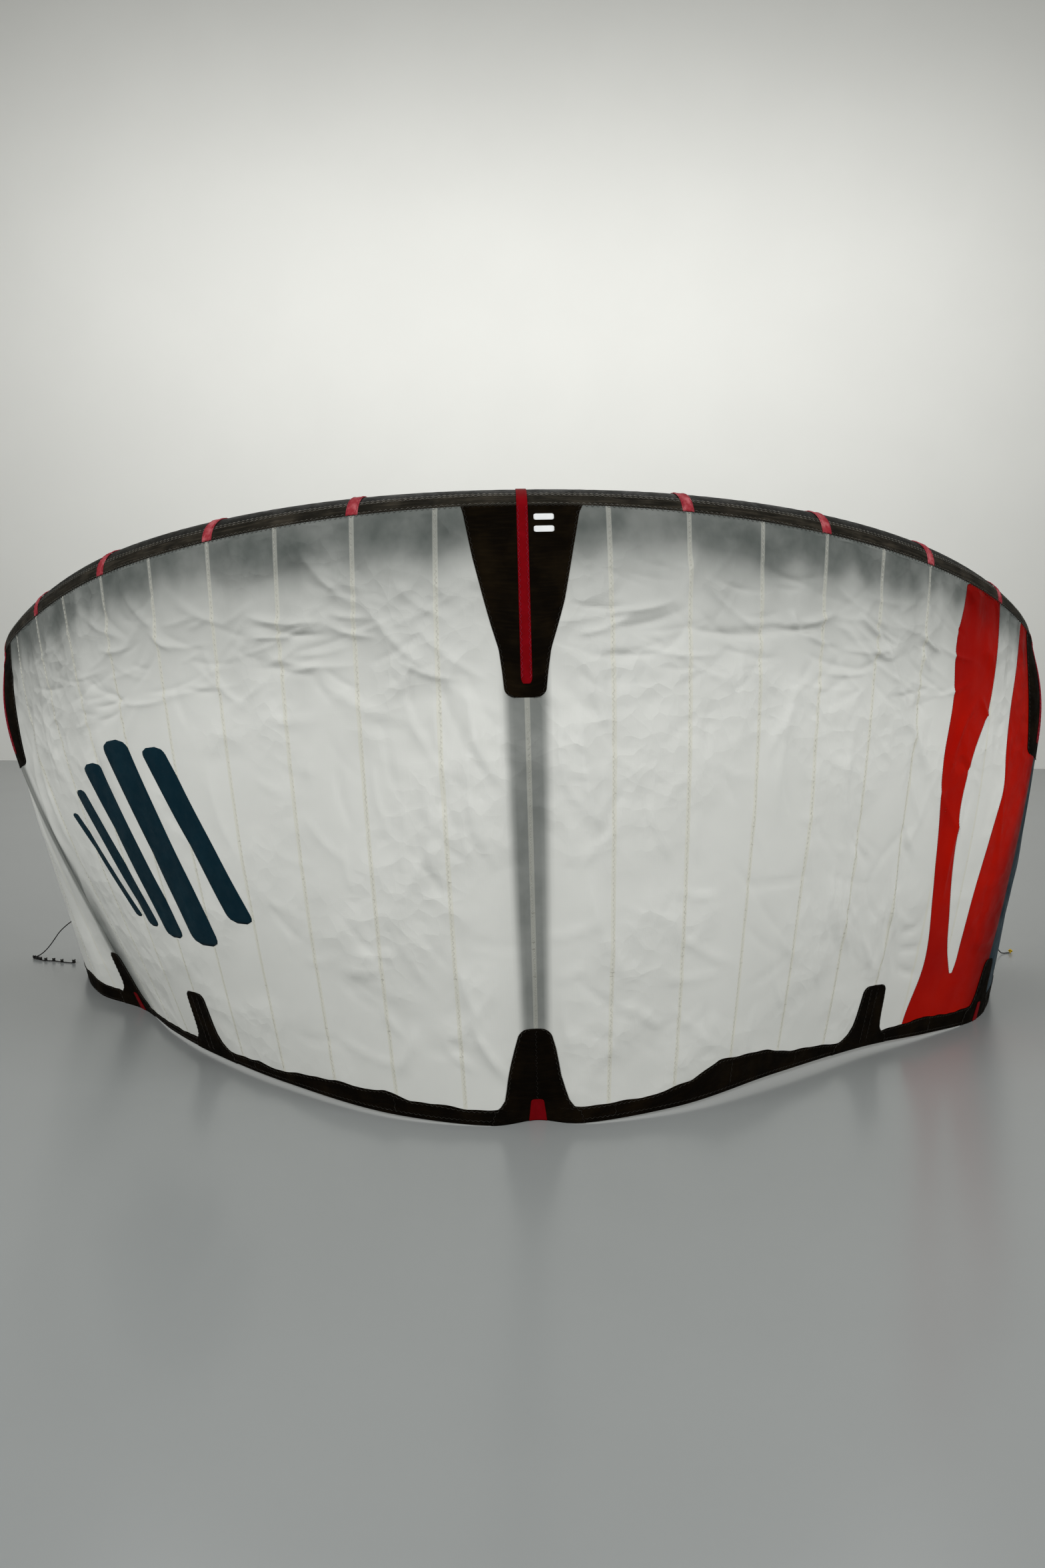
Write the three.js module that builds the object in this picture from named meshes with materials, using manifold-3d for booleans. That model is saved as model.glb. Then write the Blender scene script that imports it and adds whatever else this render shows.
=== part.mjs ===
// An inflated kitesurfing kite that stands on its trailing edge, with its arc open to the back.
// Millimetres, +Z up, +X to the right and +Y away from the viewer.
// The origin is the middle of the centre strut's flat foot on the floor.

import * as THREE from 'three';
import { mergeVertices } from 'three/addons/utils/BufferGeometryUtils.js';
import Module from 'manifold-3d';

// Driving dimensions

// One row for each seam of the leading edge, from the left tip to the right tip.
// tube is the middle of the leading-edge tube, radius its radius, hem the point on the trailing edge.
const STATIONS = [
  { tube: [-1760, 1640, 455], radius: 38, hem: [-1680, 1600, 150] },
  { tube: [-1780, 1610, 835], radius: 46, hem: [-1637, 1308, 8] },
  { tube: [-1800, 1355, 1095], radius: 55, hem: [-1500, 1035, 0] },
  { tube: [-1705, 1025, 1186], radius: 64, hem: [-1302, 874, 0] },
  { tube: [-1470, 697, 1304], radius: 70, hem: [-1140, 640, 6] },
  { tube: [-1180, 416, 1406], radius: 76, hem: [-960, 430, 10] },
  { tube: [-837, 204, 1477], radius: 80, hem: [-700, 195, 10] },
  { tube: [-457, 67, 1521], radius: 83, hem: [-365, -20, 6] },
  { tube: [-56, 29, 1540], radius: 84, hem: [0, -74, 0] },
  { tube: [340, 105, 1539], radius: 83, hem: [361, 42, 10] },
  { tube: [711, 267, 1511], radius: 80, hem: [672, 270, 22] },
  { tube: [1049, 486, 1451], radius: 76, hem: [985, 520, 18] },
  { tube: [1345, 753, 1355], radius: 70, hem: [1230, 680, 8] },
  { tube: [1548, 1010, 1230], radius: 64, hem: [1436, 843, 0] },
  { tube: [1657, 1400, 1090], radius: 55, hem: [1563, 1066, 0] },
  { tube: [1770, 1615, 745], radius: 46, hem: [1640, 1330, 8] },
  { tube: [1690, 1650, 460], radius: 38, hem: [1670, 1600, 150] },
];
const TIP = 8;
const OUTER_STRUT = 5;
const BATTEN = 3;

// The canopy is pulled in towards the centre strut at the trailing edge.
const TUCK_DEPTH = 46.5;
const TUCK_WIDTH = 0.2;

// The canopy's seam on the tube, and the part of the tube that the canopy wraps, in degrees.
const SEAM_ANGLE = { centre: 26, perSeam: 5.7, least: 3 };
const WRAP_ANGLE = { centre: 14, perSeam: 2.2, least: 6 };

// The canopy's profile from the tube to the hem: its lift-off and landing angles and their reach.
const LIFT_OFF = { base: 8, leftExtra: 5, spread: 0.9 };
const LANDING_ANGLE = 6;
const REACH = 0.36;
const WRAP_SHARE = 0.06;

// The outer struts push the canopy out into a ridge, which fades down the strut and to its sides.
const RIDGE = { rise: 1360, start: 1.5, fade: 7, width: 0.25 };

const CANOPY_THICKNESS = 1.6;
const TRIM_THICKNESS = 1.2;
const TUBE_CLEARANCE = 1.2;
const BAND_CLEARANCE = 1.9;
const KNOT_CLEARANCE = 0.5;
const STRUT_CLEARANCE = 2;
const CUT_CLEARANCE = 0.5;
const LAYER = { canopy: 0, hem: 3, wedge: 5.3, tab: 7.6 };
const PANEL_GAP = 0.0007;

const TUBE_SIDES = 16;
const STRUT_SIDES = 12;
const SEAM_STEPS = 3;
const TUCK_STEP = 0.06;
const TUCK_STEPS = 5;
const RIDGE_STEP = 0.125;
const RIDGE_STEPS = 4;
const BEND = { from: 4.5, to: TIP };
const COURSES = [0, 0.03, 0.06, 0.12, 0.18, 0.25, 0.33, 0.42, 0.54, 0.67, 0.8, 0.91, 1];

const BAND_HALF_WIDTH = 0.037;
const BAND_END_ANGLE = 330;
const BAND_STEPS = 18;
const BAND_START = 2;
const STRIPE_HALF_WIDTH = 0.032;
const STRIPE_TOP_ANGLE = 125;
const STRIPE_TUBE_END = 6;
const STRIPE_TUBE_STEPS = 8;
const EDGE_DOWN = 0.003;
const SLOPE_STEP = 0.004;
const LEAST_COURSE = 0.004;
const STEPS_PER_POINT = 2;

// Strut radius at the tube end, and how much it loses by the foot.
const STRUTS = {
  centre: { seam: 0, radius: 60, taper: 34 },
  left: { seam: -OUTER_STRUT, radius: 44, taper: 22 },
  right: { seam: OUTER_STRUT, radius: 44, taper: 22 },
};

// Upper edge of the hem band: seam number and share of the way down the canopy.
const HEM_TOP = [
  { seam: -8, down: 0.94 }, { seam: -6.1, down: 0.943 }, { seam: -5.4, down: 0.96 },
  { seam: -4.85, down: 0.98 }, { seam: -2.1, down: 0.98 }, { seam: -1.5, down: 0.966 },
  { seam: -1.1, down: 0.963 }, { seam: -0.9, down: 0.974 }, { seam: 0.85, down: 0.974 },
  { seam: 1.4, down: 0.939 }, { seam: 1.7, down: 0.946 }, { seam: 2.15, down: 0.966 },
  { seam: 2.65, down: 0.979 }, { seam: 3.5, down: 0.969 }, { seam: 4.65, down: 0.96 },
  { seam: 5.4, down: 0.945 }, { seam: 8, down: 0.93 },
];

// Outlines of the reinforcements: share of the way down the canopy, and left and right seam numbers.
const CENTRE_UPPER_WEDGE = [
  { down: EDGE_DOWN, left: -0.348, right: 0.347 }, { down: 0.06, left: -0.31, right: 0.309 },
  { down: 0.12, left: -0.27, right: 0.268 }, { down: 0.1855, left: -0.227, right: 0.225 },
  { down: 0.2555, left: -0.152, right: 0.142 }, { down: 0.314, left: -0.125, right: 0.107 },
  { down: 0.3267, left: -0.097, right: 0.08 },
];
const OUTER_UPPER_WEDGE = [
  { down: EDGE_DOWN, left: -0.3, right: 0.3 }, { down: 0.06, left: -0.28, right: 0.3 },
  { down: 0.12, left: -0.25, right: 0.29 }, { down: 0.18, left: -0.22, right: 0.27 },
  { down: 0.25, left: -0.19, right: 0.235 }, { down: 0.32, left: -0.16, right: 0.18 },
  { down: 0.335, left: -0.13, right: 0.145 },
];
const CENTRE_LOWER_WEDGE = [
  { down: 0.851, left: -0.057, right: 0.072 }, { down: 0.86, left: -0.112, right: 0.1 },
  { down: 0.8816, left: -0.15, right: 0.137 }, { down: 0.924, left: -0.199, right: 0.17 },
  { down: 0.946, left: -0.21, right: 0.2 }, { down: 0.973, left: -0.235, right: 0.255 },
  { down: 1, left: -0.26, right: 0.27 },
];
const OUTER_LOWER_WEDGE = [
  { down: 0.85, left: -0.08, right: 0.07 }, { down: 0.87, left: -0.14, right: 0.13 },
  { down: 0.93, left: -0.2, right: 0.18 }, { down: 0.965, left: -0.32, right: 0.25 },
  { down: 1, left: -0.38, right: 0.3 },
];
const BATTEN_POCKET = [
  { down: 0.872, left: -0.13, right: 0.13 }, { down: 0.9, left: -0.15, right: 0.15 },
  { down: 0.95, left: -0.18, right: 0.17 }, { down: 0.975, left: -0.26, right: 0.22 },
  { down: 1, left: -0.34, right: 0.28 },
];
const CENTRE_TAB = [{ down: 0.967, left: -0.044, right: 0.046 }, { down: 1, left: -0.067, right: 0.072 }];
const OUTER_TAB = [{ down: 0.955, left: -0.04, right: 0.04 }, { down: 1, left: -0.06, right: 0.06 }];
const STRIPE_END = { centre: 0.306, outer: 0.3 };

// Side edges of the coloured panels at the right, as seam numbers at the tube and at the hem.
const COLOUR_EDGES = {
  redStart: { top: 3.46, bottom: 3.56 },
  whiteStart: { top: 3.98, bottom: 4.04 },
  whiteEnd: { top: 4.5, bottom: 4.28 },
};

// Routes of the lines at the two tips, and the ball knot on each end.
const LINE_RADIUS = 2;
const LINE_SIDES = 8;
const KNOT_RADIUS = 4.5;
const LEFT_LINE = [
  [-1684, 1605, 153], [-1702, 1606, 152], [-1730, 1601, 148], [-1760, 1592, 139], [-1787, 1581, 126],
  [-1811, 1567, 108], [-1832, 1553, 86], [-1848, 1541, 61], [-1863, 1530, 38], [-1880, 1520, 18],
  [-1896, 1510, 6], [-1907, 1500, 2.5], [-1910, 1488, 2.5], [-1901, 1475, 2.5], [-1880, 1462, 2.5],
  [-1854, 1448, 2.5], [-1817, 1443, 2.5], [-1781, 1429, 2.5], [-1737, 1420, 2.5],
];
const RIGHT_LINE = [
  [1674, 1605, 153], [1692, 1607, 152], [1718, 1611, 146], [1742, 1619, 130], [1762, 1629, 106],
  [1779, 1640, 78], [1794, 1650, 50], [1809, 1660, 26], [1824, 1669, 9], [1839, 1678, 3],
  [1853, 1684, 2.5], [1866, 1688, 2.5],
];

const MATERIALS = {
  canopy: { color: 0xdfe3e5, roughness: 0.62, metalness: 0 },
  red: { color: 0xb32312, roughness: 0.62, metalness: 0 },
  navy: { color: 0x0b2a38, roughness: 0.62, metalness: 0 },
  dacron: { color: 0x1c1917, roughness: 0.7, metalness: 0 },
  webbing: { color: 0xa3142a, roughness: 0.75, metalness: 0 },
  strut: { color: 0x3a3d40, roughness: 0.7, metalness: 0 },
  line: { color: 0x151515, roughness: 0.8, metalness: 0 },
  yellow: { color: 0xd8a514, roughness: 0.8, metalness: 0 },
};

// The kite's surface

const wasm = await Module();
wasm.setup();

const kite = new THREE.Group();

function addPiece(name, geometry, material) {
  const mesh = new THREE.Mesh(geometry, new THREE.MeshStandardMaterial(MATERIALS[material]));
  mesh.name = name;
  kite.add(mesh);
}

function stationColumns(row) {
  return [...row.tube, row.radius, ...row.hem];
}

// A smooth curve through the rows of the table, with its slope.
function stationAt(seam) {
  const last = STATIONS.length - 1;
  const place = THREE.MathUtils.clamp(seam + TIP, 0, last);
  const index = Math.min(Math.floor(place), last - 1);
  const t = place - index;
  const b = stationColumns(STATIONS[index]);
  const c = stationColumns(STATIONS[index + 1]);
  const a = index > 0 ? stationColumns(STATIONS[index - 1]) : b.map((x, k) => 2 * x - c[k]);
  const d = index + 2 <= last ? stationColumns(STATIONS[index + 2]) : c.map((x, k) => 2 * x - b[k]);
  const value = [];
  const slope = [];
  for (let k = 0; k < b.length; k += 1) {
    const first = c[k] - a[k];
    const second = 2 * a[k] - 5 * b[k] + 4 * c[k] - d[k];
    const third = 3 * b[k] - a[k] - 3 * c[k] + d[k];
    value.push(0.5 * (2 * b[k] + first * t + second * t ** 2 + third * t ** 3));
    slope.push(0.5 * (first + 2 * second * t + 3 * third * t ** 2));
  }
  return { value, slope };
}

// The tube's middle, the hem point, and the directions along the tube, down the chord and outwards.
function frameAt(seam) {
  const { value, slope } = stationAt(seam);
  const centre = new THREE.Vector3(value[0], value[1], value[2]);
  const hem = new THREE.Vector3(value[4], value[5], value[6]);
  hem.y += TUCK_DEPTH * Math.exp(-((seam / TUCK_WIDTH) ** 2));
  const along = new THREE.Vector3(slope[0], slope[1], slope[2]).normalize();
  const chord = hem.clone().sub(centre);
  const down = chord.addScaledVector(along, -chord.dot(along)).normalize();
  const out = new THREE.Vector3().crossVectors(down, along).normalize();
  return { centre, radius: value[3], hem, along, down, out };
}

function taperedAngle(angle, seam) {
  return Math.max(angle.centre - angle.perSeam * Math.abs(seam), angle.least);
}

function radial(frame, degrees) {
  const angle = THREE.MathUtils.degToRad(degrees);
  return frame.out.clone().multiplyScalar(Math.cos(angle)).addScaledVector(frame.down, -Math.sin(angle));
}

// A point on the tube, at an angle from its outward side round over its top.
function tubePoint(seam, degrees, lift) {
  const frame = frameAt(seam);
  return frame.centre.clone().addScaledVector(radial(frame, degrees), frame.radius + lift);
}

function liftOffAngle(seam) {
  const extra = seam < 0 ? LIFT_OFF.leftExtra : 0;
  return LIFT_OFF.base + extra * Math.exp(-(((Math.abs(seam) - OUTER_STRUT) / LIFT_OFF.spread) ** 2));
}

function ridgeRise(seam, along) {
  const beside = (Math.abs(seam) - OUTER_STRUT) / RIDGE.width;
  return RIDGE.rise * along ** RIDGE.start * (1 - along) ** RIDGE.fade * Math.exp(-(beside ** 2));
}

// The canopy's inner face: round the tube from the seam, then in a long bulge down to the hem.
function canopyBase(seam, down) {
  const seamAngle = taperedAngle(SEAM_ANGLE, seam);
  const endAngle = seamAngle - taperedAngle(WRAP_ANGLE, seam);
  if (down <= WRAP_SHARE) {
    const angle = THREE.MathUtils.lerp(seamAngle, endAngle, down / WRAP_SHARE);
    return tubePoint(seam, angle, TUBE_CLEARANCE);
  }
  const frame = frameAt(seam);
  const start = tubePoint(seam, endAngle, TUBE_CLEARANCE);
  const span = frame.hem.distanceTo(start);
  const leave = THREE.MathUtils.degToRad(Math.max(endAngle, liftOffAngle(seam)));
  const land = THREE.MathUtils.degToRad(LANDING_ANGLE);
  const back = start.clone().sub(frame.hem).normalize();
  const first = start.clone()
    .addScaledVector(frame.out, REACH * span * Math.sin(leave))
    .addScaledVector(frame.down, REACH * span * Math.cos(leave));
  const second = frame.hem.clone()
    .addScaledVector(back, REACH * span * Math.cos(land))
    .addScaledVector(frame.out, REACH * span * Math.sin(land));
  const curve = new THREE.CubicBezierCurve3(start, first, second, frame.hem);
  const along = (down - WRAP_SHARE) / (1 - WRAP_SHARE);
  return curve.getPoint(along).addScaledVector(frame.out, ridgeRise(seam, along));
}

function canopyNormal(seam, down) {
  const low = THREE.MathUtils.clamp(down, SLOPE_STEP, 1 - SLOPE_STEP);
  const across = canopyBase(seam + SLOPE_STEP, low).sub(canopyBase(seam - SLOPE_STEP, low));
  const along = canopyBase(seam, low + SLOPE_STEP).sub(canopyBase(seam, low - SLOPE_STEP));
  return along.cross(across).normalize();
}

// A point at a height over the canopy's inner face, never under the floor.
function clothPoint(seam, down, lift) {
  const point = canopyBase(seam, down).addScaledVector(canopyNormal(seam, down), lift);
  point.z = Math.max(point.z, 0);
  return point;
}

// Closed solids from grids of points

function closedGeometry(points, triangles) {
  const geometry = new THREE.BufferGeometry();
  geometry.setAttribute('position', new THREE.Float32BufferAttribute(points.flatMap((p) => p.toArray()), 3));
  geometry.setIndex(triangles);
  return geometry;
}

// Both faces and the rim of a sheet. The outer face's rows run down, and its columns to the right.
// Each cell is cut along the same diagonal on both faces, so that the thickness stays even.
function sheetSolid(inner, outer) {
  const rows = outer.length;
  const columns = outer[0].length;
  const count = rows * columns;
  const triangles = [];
  const at = (row, column) => row * columns + column;
  const quad = (a, b, c, d) => triangles.push(a, b, c, a, c, d);
  for (let row = 0; row < rows - 1; row += 1) {
    for (let column = 0; column < columns - 1; column += 1) {
      const corners = [at(row, column), at(row + 1, column), at(row + 1, column + 1), at(row, column + 1)];
      const [a, b, c, d] = corners.map((corner) => corner + count);
      quad(...corners);
      quad(a, d, c, b);
    }
  }
  const rim = (a, b) => quad(b, a, a + count, b + count);
  for (let column = 0; column < columns - 1; column += 1) {
    rim(at(0, column + 1), at(0, column));
    rim(at(rows - 1, column), at(rows - 1, column + 1));
  }
  for (let row = 0; row < rows - 1; row += 1) {
    rim(at(row, 0), at(row + 1, 0));
    rim(at(row + 1, columns - 1), at(row, columns - 1));
  }
  return closedGeometry([...outer.flat(), ...inner.flat()], triangles);
}

// Rings of points joined into a closed tube with flat ends.
function ringSolid(rings) {
  const sides = rings[0].length;
  const triangles = [];
  for (let ring = 0; ring < rings.length - 1; ring += 1) {
    for (let side = 0; side < sides; side += 1) {
      const next = (side + 1) % sides;
      const a = ring * sides + side;
      const b = ring * sides + next;
      triangles.push(a, b, b + sides, a, b + sides, a + sides);
    }
  }
  const last = (rings.length - 1) * sides;
  for (let side = 1; side < sides - 1; side += 1) {
    triangles.push(0, side + 1, side);
    triangles.push(last, last + side, last + side + 1);
  }
  return closedGeometry(rings.flat(), triangles);
}

function clothSolid(grid, lift, thickness) {
  const face = (height) => grid.map((row) => row.map(([seam, down]) => clothPoint(seam, down, height)));
  return sheetSolid(face(lift), face(lift + thickness));
}

function spread(from, to, steps) {
  return Array.from({ length: steps + 1 }, (_, k) => THREE.MathUtils.lerp(from, to, k / steps));
}

function inBend(seam) {
  return Math.abs(seam) > BEND.from && Math.abs(seam) < BEND.to;
}

function closeLines(middle, step, steps) {
  return spread(middle - step * steps, middle + step * steps, 2 * steps);
}

// Lines across the sheet between two seams: even ones, and closer ones at the struts, where it bends more.
function seamLines(from, to) {
  const even = spread(-TIP, TIP, 2 * TIP * SEAM_STEPS);
  const bends = even.map((seam) => seam + 0.5 / SEAM_STEPS).filter((seam) => inBend(seam));
  const places = [
    closeLines(0, TUCK_STEP, TUCK_STEPS),
    closeLines(-OUTER_STRUT, RIDGE_STEP, RIDGE_STEPS),
    closeLines(OUTER_STRUT, RIDGE_STEP, RIDGE_STEPS),
  ];
  const margin = TUCK_STEP / 2;
  const outside = (seam, lines) => seam < lines[0] - margin || seam > lines[lines.length - 1] + margin;
  const apart = (seam) => places.every((lines) => outside(seam, lines));
  const all = [...[...even, ...bends].filter(apart), ...places.flat()];
  const inside = all.filter((seam) => seam > from + margin && seam < to - margin);
  return [from, ...inside.sort((a, b) => a - b), to];
}

function toSolid(geometry) {
  const vertProperties = new Float32Array(geometry.attributes.position.array);
  const triVerts = new Uint32Array(geometry.index.array);
  return new wasm.Manifold(new wasm.Mesh({ numProp: 3, vertProperties, triVerts }));
}

function toGeometry(solid) {
  const mesh = solid.getMesh();
  const geometry = new THREE.BufferGeometry();
  geometry.setAttribute('position', new THREE.BufferAttribute(mesh.vertProperties, mesh.numProp));
  geometry.setIndex(new THREE.BufferAttribute(mesh.triVerts, 1));
  return geometry;
}

// The leading-edge tube and its webbing

function tubeSegment(from, to, lift) {
  const rings = seamLines(from + PANEL_GAP, to - PANEL_GAP).map((seam) => {
    const angles = spread(360, 0, TUBE_SIDES).slice(0, -1);
    return angles.map((degrees) => tubePoint(seam, degrees, lift));
  });
  return ringSolid(rings);
}

function addLeadingEdge() {
  for (let number = 1; number <= OUTER_STRUT; number += 1) {
    addPiece(`leading_edge_left_${number}`, tubeSegment(-number, 1 - number, 0), 'dacron');
    addPiece(`leading_edge_right_${number}`, tubeSegment(number - 1, number, 0), 'dacron');
  }
  addPiece('leading_edge_left_tip', tubeSegment(-TIP, -OUTER_STRUT, 0), 'dacron');
  addPiece('leading_edge_right_tip', tubeSegment(OUTER_STRUT, TIP, 0), 'dacron');
}

// A webbing band over a seam of the tube, from the canopy's edge over the top and under the back.
function bandSolid(seam) {
  const seams = [seam - BAND_HALF_WIDTH, seam + BAND_HALF_WIDTH];
  const angles = spread(BAND_END_ANGLE, taperedAngle(SEAM_ANGLE, seam) + BAND_START, BAND_STEPS);
  const face = (lift) => angles.map((degrees) => seams.map((at) => tubePoint(at, degrees, lift)));
  return sheetSolid(face(BAND_CLEARANCE), face(BAND_CLEARANCE + TRIM_THICKNESS));
}

function addBands() {
  for (let number = 1; number < OUTER_STRUT; number += 1) {
    addPiece(`webbing_band_left_${number}`, bandSolid(-number), 'webbing');
    addPiece(`webbing_band_right_${number}`, bandSolid(number), 'webbing');
  }
}

// The canopy

function edgeAt(edge, down) {
  return typeof edge === 'number' ? edge : THREE.MathUtils.lerp(edge.top, edge.bottom, down);
}

function panelSolid(from, to) {
  const seams = seamLines(from + PANEL_GAP, to - PANEL_GAP);
  const grid = COURSES.map((down) => seams.map((seam) => [seam, down]));
  return clothSolid(grid, LAYER.canopy, CANOPY_THICKNESS);
}

// A panel whose side edges run across the seams.
function slantedPanelSolid(from, to, steps) {
  const grid = COURSES.map((down) => {
    const seams = spread(edgeAt(from, down) + PANEL_GAP, edgeAt(to, down) - PANEL_GAP, steps);
    return seams.map((seam) => [seam, down]);
  });
  return clothSolid(grid, LAYER.canopy, CANOPY_THICKNESS);
}

function addCanopy() {
  for (let number = 1; number <= OUTER_STRUT; number += 1) {
    addPiece(`canopy_left_${number}`, panelSolid(-number, 1 - number), 'canopy');
  }
  for (let number = 1; number <= BATTEN; number += 1) {
    addPiece(`canopy_right_${number}`, panelSolid(number - 1, number), 'canopy');
  }
  const { redStart, whiteStart, whiteEnd } = COLOUR_EDGES;
  addPiece('canopy_right_4', slantedPanelSolid(BATTEN, redStart, 3), 'canopy');
  addPiece('canopy_red_inner', slantedPanelSolid(redStart, whiteStart, 4), 'red');
  addPiece('canopy_white_stripe', slantedPanelSolid(whiteStart, whiteEnd, 3), 'canopy');
  addPiece('canopy_red_outer', slantedPanelSolid(whiteEnd, OUTER_STRUT, 10), 'red');
  addPiece('canopy_left_tip', panelSolid(-TIP, -OUTER_STRUT), 'canopy');
  addPiece('canopy_right_tip', panelSolid(OUTER_STRUT, TIP), 'navy');
}

// The dark hem band and the reinforcements

function hemTop(seam) {
  const next = Math.max(1, HEM_TOP.findIndex((row) => row.seam >= seam));
  const from = HEM_TOP[next - 1];
  const to = HEM_TOP[next];
  return THREE.MathUtils.mapLinear(seam, from.seam, to.seam, from.down, to.down);
}

function hemSolid(from, to) {
  const seams = seamLines(from + PANEL_GAP, to - PANEL_GAP);
  const upper = seams.map((seam) => [seam, hemTop(seam)]);
  const middle = seams.map((seam) => [seam, (hemTop(seam) + 1) / 2]);
  const lower = seams.map((seam) => [seam, 1]);
  return clothSolid([upper, middle, lower], LAYER.hem, TRIM_THICKNESS);
}

function addHem() {
  addPiece('hem_left_inner', hemSolid(-BATTEN, 0), 'dacron');
  addPiece('hem_left_outer', hemSolid(-TIP, -BATTEN), 'dacron');
  addPiece('hem_right_inner', hemSolid(0, BATTEN), 'dacron');
  addPiece('hem_right_outer', hemSolid(BATTEN, TIP), 'dacron');
}

// The outline's rows, with the canopy's own courses between them.
function withCourses(outline) {
  const top = outline[0].down;
  const bottom = outline[outline.length - 1].down;
  const given = outline.map((row) => row.down);
  const apart = (down) => given.every((other) => Math.abs(down - other) > LEAST_COURSE);
  const between = COURSES.filter((down) => down > top && down < bottom && apart(down));
  return [...given, ...between].sort((a, b) => a - b).map((down) => {
    const next = Math.max(1, outline.findIndex((row) => row.down >= down));
    const share = (down - outline[next - 1].down) / (outline[next].down - outline[next - 1].down);
    const left = THREE.MathUtils.lerp(outline[next - 1].left, outline[next].left, share);
    const right = THREE.MathUtils.lerp(outline[next - 1].right, outline[next].right, share);
    return { down, left, right };
  });
}

function patchSolid(outline, seam, mirrored, lift) {
  const widest = Math.max(...outline.map((row) => row.right - row.left));
  const steps = Math.ceil(widest / TUCK_STEP);
  const grid = withCourses(outline).map(({ down, left, right }) => {
    const from = mirrored ? seam - right : seam + left;
    const to = mirrored ? seam - left : seam + right;
    return spread(from, to, steps).map((at) => [at, down]);
  });
  return clothSolid(grid, lift, TRIM_THICKNESS);
}

function addReinforcements() {
  const outer = OUTER_STRUT;
  addPiece('upper_wedge_centre', patchSolid(CENTRE_UPPER_WEDGE, 0, false, LAYER.hem), 'dacron');
  addPiece('upper_wedge_left', patchSolid(OUTER_UPPER_WEDGE, -outer, false, LAYER.hem), 'dacron');
  addPiece('upper_wedge_right', patchSolid(OUTER_UPPER_WEDGE, outer, true, LAYER.hem), 'dacron');
  addPiece('lower_wedge_centre', patchSolid(CENTRE_LOWER_WEDGE, 0, false, LAYER.wedge), 'dacron');
  addPiece('lower_wedge_left', patchSolid(OUTER_LOWER_WEDGE, -outer, false, LAYER.wedge), 'dacron');
  addPiece('lower_wedge_right', patchSolid(OUTER_LOWER_WEDGE, outer, true, LAYER.wedge), 'dacron');
  addPiece('batten_pocket_left', patchSolid(BATTEN_POCKET, -BATTEN, true, LAYER.wedge), 'dacron');
  addPiece('batten_pocket_right', patchSolid(BATTEN_POCKET, BATTEN, false, LAYER.wedge), 'dacron');
  addPiece('webbing_tab_centre', patchSolid(CENTRE_TAB, 0, false, LAYER.tab), 'webbing');
  addPiece('webbing_tab_left', patchSolid(OUTER_TAB, -outer, false, LAYER.tab), 'webbing');
  addPiece('webbing_tab_right', patchSolid(OUTER_TAB, outer, true, LAYER.tab), 'webbing');
}

// A webbing stripe from the top of the tube down over the wedge.
function stripeSolid(seam, end) {
  const seams = [seam - STRIPE_HALF_WIDTH, seam + STRIPE_HALF_WIDTH];
  const tubeEnd = taperedAngle(SEAM_ANGLE, seam) + STRIPE_TUBE_END;
  const overTube = spread(STRIPE_TOP_ANGLE, tubeEnd, STRIPE_TUBE_STEPS);
  const downCanopy = [EDGE_DOWN, ...COURSES.filter((down) => down > 0 && down < end), end];
  const face = (lift) => {
    const top = overTube.map((degrees, row) => {
      const rise = LAYER.wedge * (row / (overTube.length - 1)) ** 4;
      return seams.map((at) => tubePoint(at, degrees, TUBE_CLEARANCE + rise + lift));
    });
    const rest = downCanopy.map((down) => seams.map((at) => clothPoint(at, down, LAYER.wedge + lift)));
    return [...top, ...rest];
  };
  return sheetSolid(face(0), face(TRIM_THICKNESS));
}

function addStripes() {
  addPiece('webbing_stripe_centre', stripeSolid(0, STRIPE_END.centre), 'webbing');
  addPiece('webbing_stripe_left', stripeSolid(-OUTER_STRUT, STRIPE_END.outer), 'webbing');
  addPiece('webbing_stripe_right', stripeSolid(OUTER_STRUT, STRIPE_END.outer), 'webbing');
}

// The struts behind the canopy, each cut off flat at the floor and hollowed to fit the tube

function strutAxis(strut, down) {
  const radius = strut.radius - strut.taper * down;
  const inwards = -(radius + STRUT_CLEARANCE);
  return canopyBase(strut.seam, down).addScaledVector(canopyNormal(strut.seam, down), inwards);
}

function strutRing(strut, down) {
  const centre = strutAxis(strut, down);
  const ahead = strutAxis(strut, Math.min(down + SLOPE_STEP, 1));
  const axis = ahead.sub(strutAxis(strut, down - SLOPE_STEP)).normalize();
  const { along } = frameAt(strut.seam);
  const side = along.addScaledVector(axis, -along.dot(axis)).normalize();
  const front = new THREE.Vector3().crossVectors(axis, side);
  const radius = strut.radius - strut.taper * down;
  return spread(0, 2 * Math.PI, STRUT_SIDES).slice(0, -1).map((angle) => {
    const point = centre.clone()
      .addScaledVector(side, radius * Math.cos(angle))
      .addScaledVector(front, radius * Math.sin(angle));
    if (down === 1) point.addScaledVector(axis, -point.z / axis.z);
    return point;
  });
}

function strutSolid(strut) {
  const rings = COURSES.filter((down) => down >= WRAP_SHARE).map((down) => strutRing(strut, down));
  const tube = tubeSegment(strut.seam - 1, strut.seam + 1, CUT_CLEARANCE);
  return toGeometry(toSolid(ringSolid(rings)).subtract(toSolid(tube)));
}

function addStruts() {
  addPiece('strut_centre', strutSolid(STRUTS.centre), 'strut');
  addPiece('strut_left', strutSolid(STRUTS.left), 'strut');
  addPiece('strut_right', strutSolid(STRUTS.right), 'strut');
}

// The lines at the tips

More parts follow.
